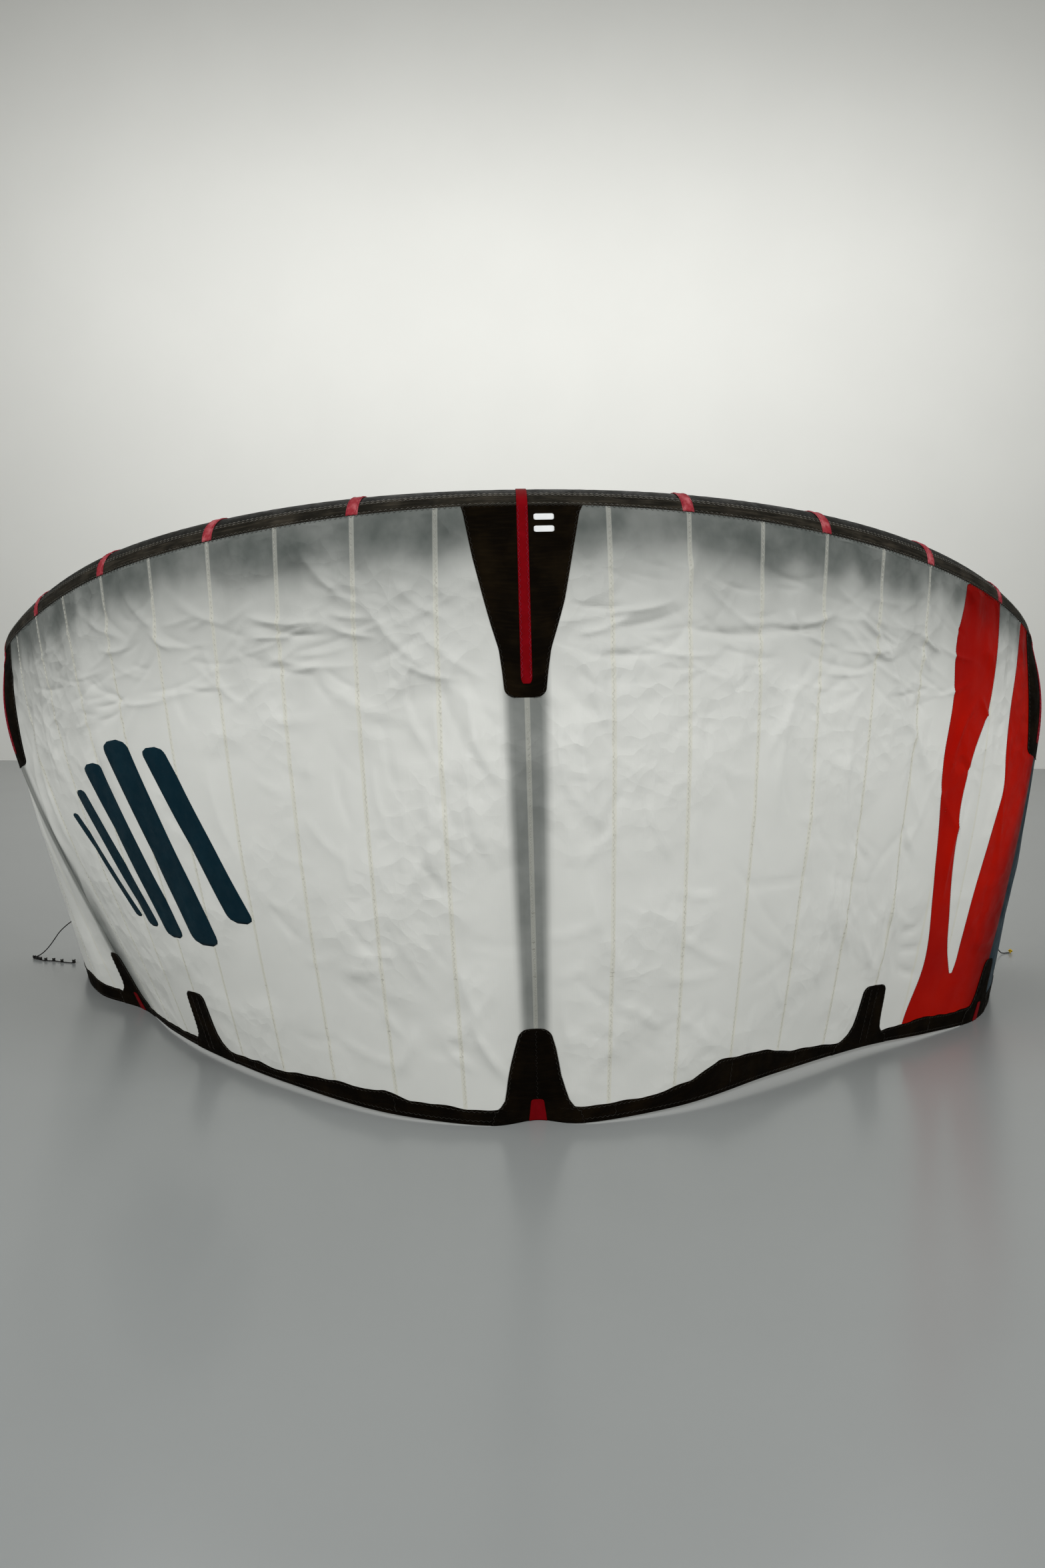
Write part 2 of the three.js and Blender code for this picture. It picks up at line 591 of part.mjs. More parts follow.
function lineSolid(route) {
  const path = new THREE.CatmullRomCurve3(route.map((point) => new THREE.Vector3(...point)));
  const section = new THREE.Shape();
  section.absarc(0, 0, LINE_RADIUS, 0, 2 * Math.PI);
  const steps = (route.length - 1) * STEPS_PER_POINT;
  const options = { steps, extrudePath: path, curveSegments: LINE_SIDES / 2, bevelEnabled: false };
  const geometry = new THREE.ExtrudeGeometry(section, options);
  geometry.deleteAttribute('normal');
  geometry.deleteAttribute('uv');
  return mergeVertices(geometry, 0.01);
}

function knotSolid(route) {
  const end = new THREE.Vector3(...route[route.length - 1]);
  const before = new THREE.Vector3(...route[route.length - 2]);
  const ahead = end.clone().sub(before).setZ(0).normalize();
  const geometry = new THREE.IcosahedronGeometry(KNOT_RADIUS, 1);
  const centre = end.addScaledVector(ahead, KNOT_RADIUS + KNOT_CLEARANCE).setZ(KNOT_RADIUS);
  return geometry.translate(centre.x, centre.y, centre.z);
}

function addLines() {
  addPiece('tip_line_left', lineSolid(LEFT_LINE), 'line');
  addPiece('tip_line_left_knot', knotSolid(LEFT_LINE), 'line');
  addPiece('tip_line_right', lineSolid(RIGHT_LINE), 'line');
  addPiece('tip_line_right_knot', knotSolid(RIGHT_LINE), 'yellow');
}

addLeadingEdge();
addBands();
addCanopy();
addHem();
addReinforcements();
addStripes();
addStruts();
addLines();

export default kite;
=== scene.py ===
# An inflated kitesurfing kite that stands on its trailing edge, with its arc open to the back.
# Metres, +Z up, +X to the right and +Y away from the viewer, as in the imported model.

import math

import bpy
import numpy as np
from mathutils import Matrix, Vector


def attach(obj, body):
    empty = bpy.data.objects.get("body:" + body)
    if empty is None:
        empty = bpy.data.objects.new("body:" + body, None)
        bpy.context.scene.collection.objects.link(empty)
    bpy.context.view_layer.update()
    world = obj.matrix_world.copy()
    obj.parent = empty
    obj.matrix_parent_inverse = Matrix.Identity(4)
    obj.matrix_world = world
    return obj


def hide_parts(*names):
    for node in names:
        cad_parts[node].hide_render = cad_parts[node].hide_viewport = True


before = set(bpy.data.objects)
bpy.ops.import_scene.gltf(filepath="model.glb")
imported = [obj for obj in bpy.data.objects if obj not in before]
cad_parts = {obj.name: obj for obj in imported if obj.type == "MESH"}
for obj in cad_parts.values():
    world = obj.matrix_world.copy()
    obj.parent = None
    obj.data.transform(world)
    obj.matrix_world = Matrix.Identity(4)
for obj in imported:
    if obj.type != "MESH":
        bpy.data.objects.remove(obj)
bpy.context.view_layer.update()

MM = 0.001
ROOT = "root"

# Camera: where it stands, how it is turned, and its focal length as a share of the frame's long side
CAMERA_PLACE = (-0.027, -3.254, 1.325)
CAMERA_YAW = 0.35
CAMERA_PITCH = -7.7
CAMERA_ROLL = -0.43
FOCAL_SHARE = 1928 / 2352
SENSOR = 36.0

# The kite's stations, from the left tip to the right tip, in millimetres.
# Columns: the tube's middle x, y and z, the tube's radius, the hem's x, y and z.
STATIONS = MM * np.array([
    (-1760, 1640, 455, 38, -1680, 1600, 150),
    (-1780, 1610, 835, 46, -1637, 1308, 8),
    (-1800, 1355, 1095, 55, -1500, 1035, 0),
    (-1705, 1025, 1186, 64, -1302, 874, 0),
    (-1470, 697, 1304, 70, -1140, 640, 6),
    (-1180, 416, 1406, 76, -960, 430, 10),
    (-837, 204, 1477, 80, -700, 195, 10),
    (-457, 67, 1521, 83, -365, -20, 6),
    (-56, 29, 1540, 84, 0, -74, 0),
    (340, 105, 1539, 83, 361, 42, 10),
    (711, 267, 1511, 80, 672, 270, 22),
    (1049, 486, 1451, 76, 985, 520, 18),
    (1345, 753, 1355, 70, 1230, 680, 8),
    (1548, 1010, 1230, 64, 1436, 843, 0),
    (1657, 1400, 1090, 55, 1563, 1066, 0),
    (1770, 1615, 745, 46, 1640, 1330, 8),
    (1690, 1650, 460, 38, 1670, 1600, 150),
], float)
TIP = 8
OUTER_STRUT = 5
BATTEN = 3

# How far the hem tucks in at the centre strut, and over how many seam numbers
TUCK_DEPTH = 46.5 * MM
TUCK_WIDTH = 0.2

# Degrees on the tube: where the cloth is sewn on and how far it wraps, each as the value at the centre,
# the loss per seam number and the least value
SEAM_ANGLE = (26, 5.7, 3)
WRAP_ANGLE = (14, 2.2, 6)

# Degrees at which the cloth leaves the tube and meets the hem, and how far each bend reaches down it
LIFT_OFF = 8
LIFT_OFF_LEFT = 5
LIFT_OFF_SPREAD = 0.9
LANDING_ANGLE = 6
REACH = 0.36
WRAP_SHARE = 0.06
TUBE_CLEARANCE = 1.2 * MM

# The ridge over each outer strut: its rise, how it starts and fades down the strut, and its half width
RIDGE_RISE = 1360 * MM
RIDGE_START = 1.5
RIDGE_FADE = 7
RIDGE_WIDTH = 0.25

# About how long one seam number is across the cloth, and the whole chord down it
SEAM_LENGTH = 0.345
CHORD = 1.5
FLOOR_CLEARANCE = 0.4 * MM
CLOTH_LIFT = 0.8 * MM

# Sewn pleats under the leading edge: seam number, how far down it reaches, depth in mm, half width in
# mm, and how far it leans outwards by its end, in seam numbers
PLEATS = [
    (-4.6, 0.17, 5, 16, -0.1), (-4.28, 0.2, 6, 20, -0.16), (-3.95, 0.15, 4, 14, -0.1),
    (-3.78, 0.19, 6, 20, -0.12), (-3.47, 0.16, 5, 16, -0.08), (-3.26, 0.18, 6, 18, -0.08),
    (-3.06, 0.17, 5, 14, -0.06), (-2.92, 0.13, 4, 13, -0.02), (-2.68, 0.15, 5, 18, -0.02),
    (-2.4, 0.13, 4, 15, 0), (-2.22, 0.11, 4, 14, 0), (-2.07, 0.12, 3, 13, 0.01),
    (-1.86, 0.12, 4, 16, 0.02), (-1.62, 0.09, 3, 14, 0.02),
    (1.5, 0.09, 3, 15, 0), (1.73, 0.17, 5, 18, 0.02), (1.96, 0.14, 4, 16, -0.02),
    (2.13, 0.19, 6, 20, 0.2), (2.36, 0.16, 5, 16, 0.06), (2.51, 0.18, 6, 17, 0.02),
    (2.7, 0.13, 5, 16, 0.06), (2.87, 0.22, 6, 18, 0.18), (3.07, 0.2, 5, 15, 0.12),
    (3.22, 0.18, 5, 15, 0.06), (3.38, 0.16, 4, 14, 0.06), (3.6, 0.2, 5, 20, 0.05),
    (3.86, 0.17, 4, 18, 0.04), (4.15, 0.2, 5, 17, 0.04), (4.55, 0.2, 4, 15, 0.04),
]

# Creases as soft ridges or troughs: seam number and share down the canopy at each end, half width and
# height in mm
CREASES = [
    (-1.36, 0.08, -1.0, 0.18, 11, 5), (-1.71, 0.18, -1.22, 0.2, 11, 5), (-1.76, 0.21, -1.32, 0.21, 11, 5),
    (-1.66, 0.195, -1.18, 0.22, 9, -4), (-1.15, 0.19, -0.9, 0.2, 11, 4), (-1.18, 0.205, -0.88, 0.23, 10, 4),
    (-0.92, 0.18, -0.52, 0.29, 12, 3), (-0.75, 0.15, -0.45, 0.21, 13, 3), (-2.78, 0.09, -2.4, 0.19, 12, 4),
    (-3.12, 0.18, -2.75, 0.19, 10, 3), (-2.56, 0.17, -2.38, 0.21, 9, 4), (-1.7, 0.34, -1.25, 0.35, 10, 2),
    (-0.72, 0.27, -0.4, 0.3, 11, 3), (-1.55, 0.25, -1.0, 0.27, 12, 2), (-1.2, 0.3, -0.7, 0.36, 14, 2),
    (-0.33, 0.32, -0.2, 0.45, 16, 5), (-0.42, 0.38, -0.6, 0.6, 26, 5), (-0.29, 0.36, -0.3, 0.55, 18, 3),
    (-0.52, 0.33, -0.48, 0.42, 14, 3), (0.2, 0.34, 0.28, 0.52, 16, 4), (0.3, 0.33, 0.46, 0.55, 22, 4),
    (0.27, 0.19, 0.65, 0.19, 10, -4), (0.45, 0.225, 0.97, 0.19, 10, -4), (0.5, 0.2, 0.9, 0.18, 9, 4),
    (0.3, 0.235, 0.62, 0.205, 9, 4), (0.44, 0.26, 0.78, 0.26, 10, -3), (0.78, 0.26, 0.97, 0.22, 10, -3),
    (0.97, 0.22, 1.72, 0.21, 12, -4), (1.05, 0.11, 0.98, 0.17, 11, 4), (1.73, 0.18, 1.8, 0.215, 9, 5),
    (1.8, 0.2, 2.12, 0.17, 10, 5), (1.62, 0.21, 1.98, 0.2, 9, -5), (1.86, 0.215, 2.1, 0.225, 8, 3),
    (2.32, 0.17, 2.56, 0.2, 10, 6), (2.5, 0.19, 2.7, 0.21, 9, -5), (2.42, 0.215, 2.66, 0.235, 9, 4),
    (2.97, 0.18, 3.18, 0.2, 9, 5), (3.0, 0.21, 3.1, 0.24, 8, 3), (2.47, 0.12, 3.23, 0.43, 20, 5),
    (1.82, 0.28, 1.7, 0.52, 22, 4), (2.34, 0.35, 2.37, 0.57, 20, 4), (1.76, 0.34, 1.58, 0.42, 14, 3),
    (2.05, 0.42, 2.1, 0.66, 20, 3), (2.3, 0.62, 2.37, 0.75, 10, 3), (2.39, 0.64, 2.47, 0.77, 10, 3),
    (2.48, 0.64, 2.57, 0.79, 10, 3), (2.9, 0.68, 3.04, 0.84, 11, 3), (3.0, 0.7, 3.15, 0.86, 10, 3),
    (2.98, 0.62, 3.1, 0.78, 12, 3), (0.5, 0.82, 0.7, 0.825, 10, 3), (0.68, 0.825, 0.87, 0.86, 10, 3),
    (2.6, 0.72, 3.08, 0.87, 14, 3), (3.15, 0.765, 3.46, 0.75, 11, -3), (3.2, 0.8, 3.53, 0.8, 11, -3),
    (3.25, 0.84, 3.56, 0.86, 11, -3), (-1.2, 0.74, -0.88, 0.73, 12, 3), (-1.28, 0.77, -0.95, 0.75, 12, 3),
    (-0.98, 0.93, -0.8, 0.85, 16, 3), (-0.42, 0.83, -0.19, 0.93, 13, 4), (-0.5, 0.72, -0.3, 0.86, 22, 3),
    (-0.58, 0.55, -0.85, 0.7, 26, 4), (0.34, 0.6, 0.62, 0.78, 24, 3), (-4.6, 0.3, -4.75, 0.62, 26, 5),
    (-4.35, 0.22, -4.55, 0.55, 22, 4), (-4.1, 0.18, -4.2, 0.4, 20, 3), (-4.7, 0.62, -4.85, 0.83, 18, 4),
    (-3.5, 0.3, -3.3, 0.52, 26, -2), (-2.2, 0.42, -2.0, 0.6, 28, 2), (3.6, 0.3, 3.5, 0.45, 20, 3),
    (3.75, 0.5, 3.7, 0.7, 20, 3), (4.5, 0.3, 4.6, 0.6, 22, 4), (3.8, 0.26, 4.0, 0.3, 12, 3),
    (6.2, 0.2, 6.6, 0.7, 30, 4), (-6.2, 0.2, -6.6, 0.7, 30, 4), (-5.6, 0.25, -5.5, 0.7, 30, 4),
    (5.6, 0.3, 5.5, 0.7, 30, 4), (7.0, 0.3, 7.3, 0.8, 24, 3), (-7.0, 0.3, -7.3, 0.8, 24, 3),
]

# How much the tables' heights and half widths are scaled, the bow of a crease as a share of its length,
# and how round its crest is
CREASE_STRENGTH = 2.3
FINE_STRENGTH = 1.7
CREASE_SHARPNESS = 0.62
CREASE_BOW = 0.06
CREST_RADIUS = 3 * MM

# Heights of the slow and the middle waves and of the billow between two seams
SLOW_WAVE = 2.2 * MM
MIDDLE_WAVE = 0.9 * MM
BILLOW = 3 * MM

# Zones of small creases at random places: seam numbers, shares down, how many, their turn from level in
# degrees, and how far that varies
SEED = 8
CRUMPLED_ZONES = [
    ((-4.2, -0.3), (0.12, 0.32), 90, 0, 30), ((0.25, 3.4), (0.12, 0.32), 90, 0, 30),
    ((-4.4, -0.3), (0.3, 0.6), 40, 70, 35), ((0.25, 3.9), (0.3, 0.6), 40, 80, 35),
    ((1.9, 3.2), (0.55, 0.85), 40, 75, 25), ((-2.0, -0.2), (0.65, 0.93), 25, 10, 40),
    ((0.2, 1.8), (0.6, 0.92), 25, 40, 50), ((-0.8, 0.6), (0.3, 0.6), 40, 75, 20),
    ((-4.9, -4.0), (0.1, 0.8), 25, 80, 12),
]

# The printed place, which has no small creases: its middle and half size in seam numbers and shares
PRINT_MIDDLE = (-3.1, 0.57)
PRINT_HALF = (1.3, 0.25)

# Small creases: half length in metres, then half width and height in mm
FINE_REACH = (0.03, 0.12)
FINE_WIDTH = (7, 11)
FINE_RISE = (1.0, 2.8)

# Upper edge of the hem band: seam number and share of the way down the canopy
HEM_TOP = np.array([
    (-8, 0.94), (-6.1, 0.943), (-5.8, 0.958), (-5.4, 0.962), (-5.1, 0.975), (-4.5, 0.981), (-4.0, 0.979),
    (-3.6, 0.98), (-3.2, 0.978), (-2.6, 0.98), (-2.3, 0.976), (-2.1, 0.981), (-1.8, 0.973), (-1.5, 0.966),
    (-1.25, 0.967), (-1.1, 0.962), (-0.9, 0.973), (-0.7, 0.972), (-0.5, 0.976), (0, 0.974), (0.6, 0.973),
    (0.85, 0.972), (1.13, 0.961), (1.39, 0.94), (1.7, 0.945), (1.9, 0.95), (2.13, 0.965), (2.4, 0.969),
    (2.66, 0.979), (3.2, 0.974), (3.52, 0.969), (3.86, 0.96), (4.3, 0.964), (4.64, 0.96), (5.4, 0.945),
    (8, 0.93),
])

# Outlines of the reinforcements: share of the way down the canopy, left and right seam numbers
CENTRE_UPPER_WEDGE = np.array([
    (0.002, -0.352, 0.35), (0.06, -0.338, 0.328), (0.12, -0.29, 0.278), (0.1855, -0.227, 0.225),
    (0.222, -0.19, 0.183), (0.2555, -0.152, 0.142), (0.29, -0.136, 0.122), (0.3267, -0.124, 0.106),
])
OUTER_UPPER_WEDGE = np.array([
    (0.002, -0.3, 0.3), (0.06, -0.28, 0.3), (0.12, -0.25, 0.29), (0.18, -0.22, 0.27),
    (0.25, -0.19, 0.235), (0.335, -0.16, 0.18),
])
CENTRE_LOWER_WEDGE = np.array([
    (0.851, -0.116, 0.104), (0.865, -0.128, 0.116), (0.8816, -0.15, 0.137), (0.905, -0.178, 0.156),
    (0.924, -0.199, 0.17), (0.946, -0.212, 0.2), (0.962, -0.226, 0.224), (0.973, -0.26, 0.262),
    (0.98, -0.31, 0.32),
])
OUTER_LOWER_WEDGE = np.array([
    (0.85, -0.13, 0.12), (0.87, -0.15, 0.14), (0.9, -0.175, 0.16), (0.93, -0.2, 0.18), (0.95, -0.25, 0.21),
    (0.962, -0.33, 0.26), (0.97, -0.42, 0.33),
])
BATTEN_POCKET = np.array([
    (0.872, -0.135, 0.135), (0.9, -0.15, 0.15), (0.93, -0.165, 0.16), (0.95, -0.185, 0.172),
    (0.965, -0.225, 0.19), (0.975, -0.28, 0.23), (0.982, -0.36, 0.3),
])
CENTRE_TAB = np.array([(0.966, -0.046, 0.048), (0.98, -0.054, 0.057), (1.0, -0.066, 0.07)])
OUTER_TAB = np.array([(0.955, -0.04, 0.04), (1.0, -0.06, 0.06)])

# Red stripes: name, seam number and how far down each ends
STRIPES = [("centre", 0, 0.306), ("left", -OUTER_STRUT, 0.3), ("right", OUTER_STRUT, 0.3)]
STRIPE_HALF_WIDTH = 0.032
STRIPE_TOP_ANGLE = 125
STRIPE_CORNER = 0.012
STRIPE_HEIGHTS = (3.4 * MM, 2.2 * MM)
STRIPE_BASE = 1.6 * MM

# Patches: name, seam number, outline, whether it is mirrored, whether it is at the hem
PATCHES = [
    ("upper_wedge_centre", 0, CENTRE_UPPER_WEDGE, False, False),
    ("upper_wedge_left", -OUTER_STRUT, OUTER_UPPER_WEDGE, False, False),
    ("upper_wedge_right", OUTER_STRUT, OUTER_UPPER_WEDGE, True, False),
    ("lower_wedge_centre", 0, CENTRE_LOWER_WEDGE, False, True),
    ("lower_wedge_left", -OUTER_STRUT, OUTER_LOWER_WEDGE, False, True),
    ("lower_wedge_right", OUTER_STRUT, OUTER_LOWER_WEDGE, True, True),
    ("batten_pocket_left", -BATTEN, BATTEN_POCKET, True, True),
    ("batten_pocket_right", BATTEN, BATTEN_POCKET, False, True),
]
TABS = [
    ("centre", 0, CENTRE_TAB, False), ("left", -OUTER_STRUT, OUTER_TAB, False),
    ("right", OUTER_STRUT, OUTER_TAB, True),
]
PATCH_EDGE = 0.012
UPPER_PATCH_LIFT = 2.0 * MM
LOWER_PATCH_LIFT = 3.2 * MM
TAB_LIFT = 4.8 * MM

# Side edges of the coloured cloth: share of the way down the canopy and seam number
RED_START = [
    (0, 3.5), (0.1, 3.44), (0.18, 3.38), (0.28, 3.41), (0.41, 3.38), (0.54, 3.45), (0.7, 3.55), (0.85, 3.63),
    (0.95, 3.54), (1, 3.52),
]
WHITE_START = [
    (0, 4.0), (0.18, 4.02), (0.29, 3.94), (0.36, 3.81), (0.46, 3.72), (0.56, 3.72), (0.64, 3.77),
    (0.72, 3.85), (0.8, 3.96), (0.85, 4.08), (0.868, 4.13), (0.9, 4.14), (1, 4.14),
]
WHITE_END = [
    (0, 4.5), (0.16, 4.47), (0.25, 4.42), (0.35, 4.42), (0.45, 4.44), (0.55, 4.36), (0.62, 4.3),
    (0.7, 4.24), (0.8, 4.21), (0.85, 4.2), (0.868, 4.18), (0.9, 4.18), (1, 4.18),
]
WHITE_BOTTOM = 0.868

# Struts: name, seam number, radius at the tube end and how much of it is lost by the foot, in mm
STRUTS = [("centre", 0.0, 60, 34), ("left", -5.0, 44, 22), ("right", 5.0, 44, 22)]
STRUT_SIDES = 48
STRUT_CLEARANCE = 2 * MM

# Printed bars: seam number, share down, width and length in metres; then the slant in seam numbers
PRINTED_BARS = [
    (-3.86, 0.60, 0.035, 0.36), (-3.62, 0.585, 0.06, 0.46), (-3.3, 0.57, 0.085, 0.56),
    (-2.88, 0.555, 0.11, 0.62), (-2.42, 0.54, 0.085, 0.5),
]
BAR_SLANT = 0.62
WEDGE_BARS = [(0.122, 0.066, 0.04, 0.013), (0.122, 0.083, 0.04, 0.013)]

# Webbing bands round the tube, and the place of a rib's points across a band or stripe
BAND_HALF_WIDTH = 0.037
BAND_END_ANGLE = 330
BAND_HEIGHTS = (2.6 * MM, 1.2 * MM)
RIB = np.array([-1, -0.94, -0.5, 0, 0.5, 0.94, 1])
RIB_EDGE = np.where(np.abs(RIB) == 1, -0.5 * MM, 0)

# Zigzag threads: width of the zigzag and radius of the thread, in mm
THREADS = {
    "leading_edge_stitching": (4.5, 0.6), "webbing_band_stitching": (4, 0.5), "hem_stitching": (4.5, 0.5),
    "reinforcement_stitching": (5, 0.65), "webbing_stripe_stitching": (5, 0.6),
    "canopy_stitch_holes": (0.6, 0.4), "canopy_seam_stitching": (5, 0.38),
    "canopy_edge_stitching": (7, 0.55), "red_cloth_stitching": (2.4, 0.45),
}
STITCH_STEP = 7 * MM
FINE_STITCH_STEP = 4 * MM

# Routes of the tip lines, in millimetres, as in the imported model
LINE_RADIUS = 2 * MM
END_KNOT = 9 * MM
KNOT = 8 * MM
KNOT_TURNS = 64
KNOT_SIDES = 10
LEFT_KNOTS = (0.72, 0.76, 0.8, 0.85, 0.895, 0.945)
LEFT_LINE = [
    (-1684, 1605, 153), (-1702, 1606, 152), (-1730, 1601, 148), (-1760, 1592, 139), (-1787, 1581, 126),
    (-1811, 1567, 108), (-1832, 1553, 86), (-1848, 1541, 61), (-1863, 1530, 38), (-1880, 1520, 18),
    (-1896, 1510, 6), (-1907, 1500, 2.5), (-1910, 1488, 2.5), (-1901, 1475, 2.5), (-1880, 1462, 2.5),
    (-1854, 1448, 2.5), (-1817, 1443, 2.5), (-1781, 1429, 2.5), (-1737, 1420, 2.5),
]
RIGHT_LINE = [
    (1674, 1605, 153), (1692, 1607, 152), (1718, 1611, 146), (1742, 1619, 130), (1762, 1629, 106),
    (1779, 1640, 78), (1794, 1650, 50), (1809, 1660, 26), (1824, 1669, 9), (1839, 1678, 3),
    (1853, 1684, 2.5), (1866, 1688, 2.5),
]


# Small helpers

def unit(vectors):
    return vectors / np.linalg.norm(vectors, axis=-1, keepdims=True)


def smooth(value, low, high):
    t = np.clip((value - low) / (high - low), 0, 1)
    return t * t * (3 - 2 * t)


def tapered(angle, seam):
    centre, per_seam, least = angle
    return np.maximum(centre - per_seam * np.abs(seam), least)


def run_length(points):
    steps = np.linalg.norm(np.diff(points, axis=0), axis=-1)
    return np.concatenate([np.zeros_like(steps[:1]), np.cumsum(steps, 0)])


def cubic(a, b, c, d, t):
    first = c - a
    second = 2 * a - 5 * b + 4 * c - d
    third = 3 * b - a - 3 * c + d
    value = 0.5 * (2 * b + first * t + second * t ** 2 + third * t ** 3)
    slope = 0.5 * (first + 2 * second * t + 3 * third * t ** 2)
    return value, slope


def with_ends(rows):
    return np.vstack([2 * rows[0] - rows[1], rows, 2 * rows[-1] - rows[-2]])


# The kite's surface

def station_at(seam):
    last = len(STATIONS) - 1
    place = np.clip(np.asarray(seam, float) + TIP, 0, last)
    index = np.minimum(np.floor(place).astype(int), last - 1)
    rows = with_ends(STATIONS)
    return cubic(*(rows[index + k] for k in range(4)), (place - index)[..., None])


def frame_at(seam):
    value, slope = station_at(seam)
    centre, radius, hem = value[..., 0:3], value[..., 3], value[..., 4:7].copy()
    hem[..., 1] += TUCK_DEPTH * np.exp(-((np.asarray(seam) / TUCK_WIDTH) ** 2))
    along = unit(slope[..., 0:3])
    chord = hem - centre
    down = unit(chord - (chord * along).sum(-1, keepdims=True) * along)
    out = unit(np.cross(down, along))
    return centre, radius, hem, along, down, out


def tube_point(seam, degrees, lift):
    seam, degrees, lift = np.broadcast_arrays(seam, degrees, lift)
    centre, radius, _, _, down, out = frame_at(seam)
    angle = np.radians(degrees)[..., None]
    return centre + (radius + lift)[..., None] * (out * np.cos(angle) - down * np.sin(angle))


def tube_normal(seam, degrees):
    seam, degrees = np.broadcast_arrays(seam, degrees)
    _, _, _, _, down, out = frame_at(seam)
    angle = np.radians(degrees)[..., None]
    return out * np.cos(angle) - down * np.sin(angle)


def canopy_base(seam, down_share):
    seam, share = np.broadcast_arrays(np.asarray(seam, float), np.asarray(down_share, float))
    seam_angle = tapered(SEAM_ANGLE, seam)
    end_angle = seam_angle - tapered(WRAP_ANGLE, seam)
    wrap = np.clip(share / WRAP_SHARE, 0, 1)
    on_tube = tube_point(seam, seam_angle + (end_angle - seam_angle) * wrap, TUBE_CLEARANCE)
    _, _, hem, _, down, out = frame_at(seam)
    start = tube_point(seam, end_angle, TUBE_CLEARANCE)
    span = np.linalg.norm(hem - start, axis=-1, keepdims=True)
    near_strut = np.exp(-(((np.abs(seam) - OUTER_STRUT) / LIFT_OFF_SPREAD) ** 2))
    extra = np.where(seam < 0, LIFT_OFF_LEFT, 0) * near_strut
    leave = np.radians(np.maximum(end_angle, LIFT_OFF + extra))[..., None]
    land = math.radians(LANDING_ANGLE)
    back = unit(start - hem)
    first = start + REACH * span * (out * np.sin(leave) + down * np.cos(leave))
    second = hem + REACH * span * (back * math.cos(land) + out * math.sin(land))
    t = np.clip((share - WRAP_SHARE) / (1 - WRAP_SHARE), 0, 1)[..., None]
    curve = (1 - t) ** 3 * start + 3 * (1 - t) ** 2 * t * first
    curve = curve + 3 * (1 - t) * t ** 2 * second + t ** 3 * hem
    beside = (np.abs(seam) - OUTER_STRUT) / RIDGE_WIDTH
    rise = RIDGE_RISE * t ** RIDGE_START * (1 - t) ** RIDGE_FADE
    curve += out * rise * np.exp(-beside ** 2)[..., None]
    return np.where((share <= WRAP_SHARE)[..., None], on_tube, curve)


def canopy_normal(seam, share):
    step = 0.004
    share = np.clip(share, step, 1 - step)
    across = canopy_base(seam + step, share) - canopy_base(seam - step, share)
    along = canopy_base(seam, share + step) - canopy_base(seam, share - step)
    return unit(np.cross(along, across))


# The relief of the cloth over its smooth surface: billow, pleats, creases and slow waves

def pleat_relief(seam, share):
    height = np.zeros_like(seam)
    for at, reach, depth, half_width, lean in PLEATS:
        along = share / reach
        middle = at + lean * np.clip(along, 0, 1.4)
        apart = (seam - middle) * SEAM_LENGTH / (half_width * MM * (1 + 0.8 * along))
        strength = smooth(share, 0.0, 0.05) * np.exp(-np.clip(along, 0, None) ** 2 * 1.6)
        height += depth * MM * strength * (np.exp(-apart ** 2) - 0.45 * np.exp(-(apart - 1.7) ** 2))
    return height


def crease_relief(seam, share, creases):
    x, y = seam * SEAM_LENGTH, share * CHORD
    height = np.zeros_like(seam)
    for from_seam, from_share, to_seam, to_share, half_width, rise in creases:
        ax, ay = from_seam * SEAM_LENGTH, from_share * CHORD
        dx, dy = to_seam * SEAM_LENGTH - ax, to_share * CHORD - ay
        length = math.hypot(dx, dy)
        along = ((x - ax) * dx + (y - ay) * dy) / length ** 2
        bow = CREASE_BOW * length * np.sin(math.pi * np.clip(along, 0, 1))
        apart = ((x - ax) * dy - (y - ay) * dx) / length + bow
        width = CREASE_SHARPNESS * half_width * MM
        ends = smooth(along, -0.15, 0.35) * (1 - smooth(along, 0.6, 1.15))
        from_crest = np.sqrt(apart ** 2 + CREST_RADIUS ** 2) - CREST_RADIUS
        height += rise * MM * ends * np.exp(-from_crest / width)
    return height


def random_creases():
    made = np.random.default_rng(SEED)
    rows = []
    for seams, shares, count, turn, spread in CRUMPLED_ZONES:
        for _ in range(count):
            seam, share = made.uniform(*seams), made.uniform(*shares)
            angle = math.radians(turn + made.normal(0, spread))
            reach = made.uniform(*FINE_REACH)
            width, rise = made.uniform(*FINE_WIDTH), made.uniform(*FINE_RISE) * made.choice((-1, 1))
            dx, dy = reach * math.cos(angle) / SEAM_LENGTH, reach * math.sin(angle) / CHORD
            apart = np.abs([seam - PRINT_MIDDLE[0], share - PRINT_MIDDLE[1]])
            if (apart >= PRINT_HALF).any():
                rows.append((seam - dx, share - dy, seam + dx, share + dy, width, rise))
    return rows


def wave_relief(seam, share):
    x, y = seam * SEAM_LENGTH, share * CHORD
    slow = np.sin(5.1 * x + 1.3 * np.sin(3.7 * y)) * np.sin(3.3 * y + 0.7 + 1.1 * np.sin(2.9 * x))
    middle = np.sin(11 * x + 2.1 * np.sin(6.1 * y) + 4 * y) * np.sin(8.3 * y + 1.9 * np.sin(7.7 * x))
    return (SLOW_WAVE * slow + MIDDLE_WAVE * middle) * smooth(share, 0.04, 0.3) * (1 - smooth(share, 0.8, 1))


def billow_relief(seam, share):
    from_seam = 0.25 - np.abs((2 * seam) % 1 - 0.5) / 2
    bulge = 1 - (1 - np.clip(from_seam / 0.25, 0, 1)) ** 3
    return BILLOW * bulge * np.sin(math.pi * np.clip(share, 0, 1)) ** 0.7 * smooth(share, 0.03, 0.2)


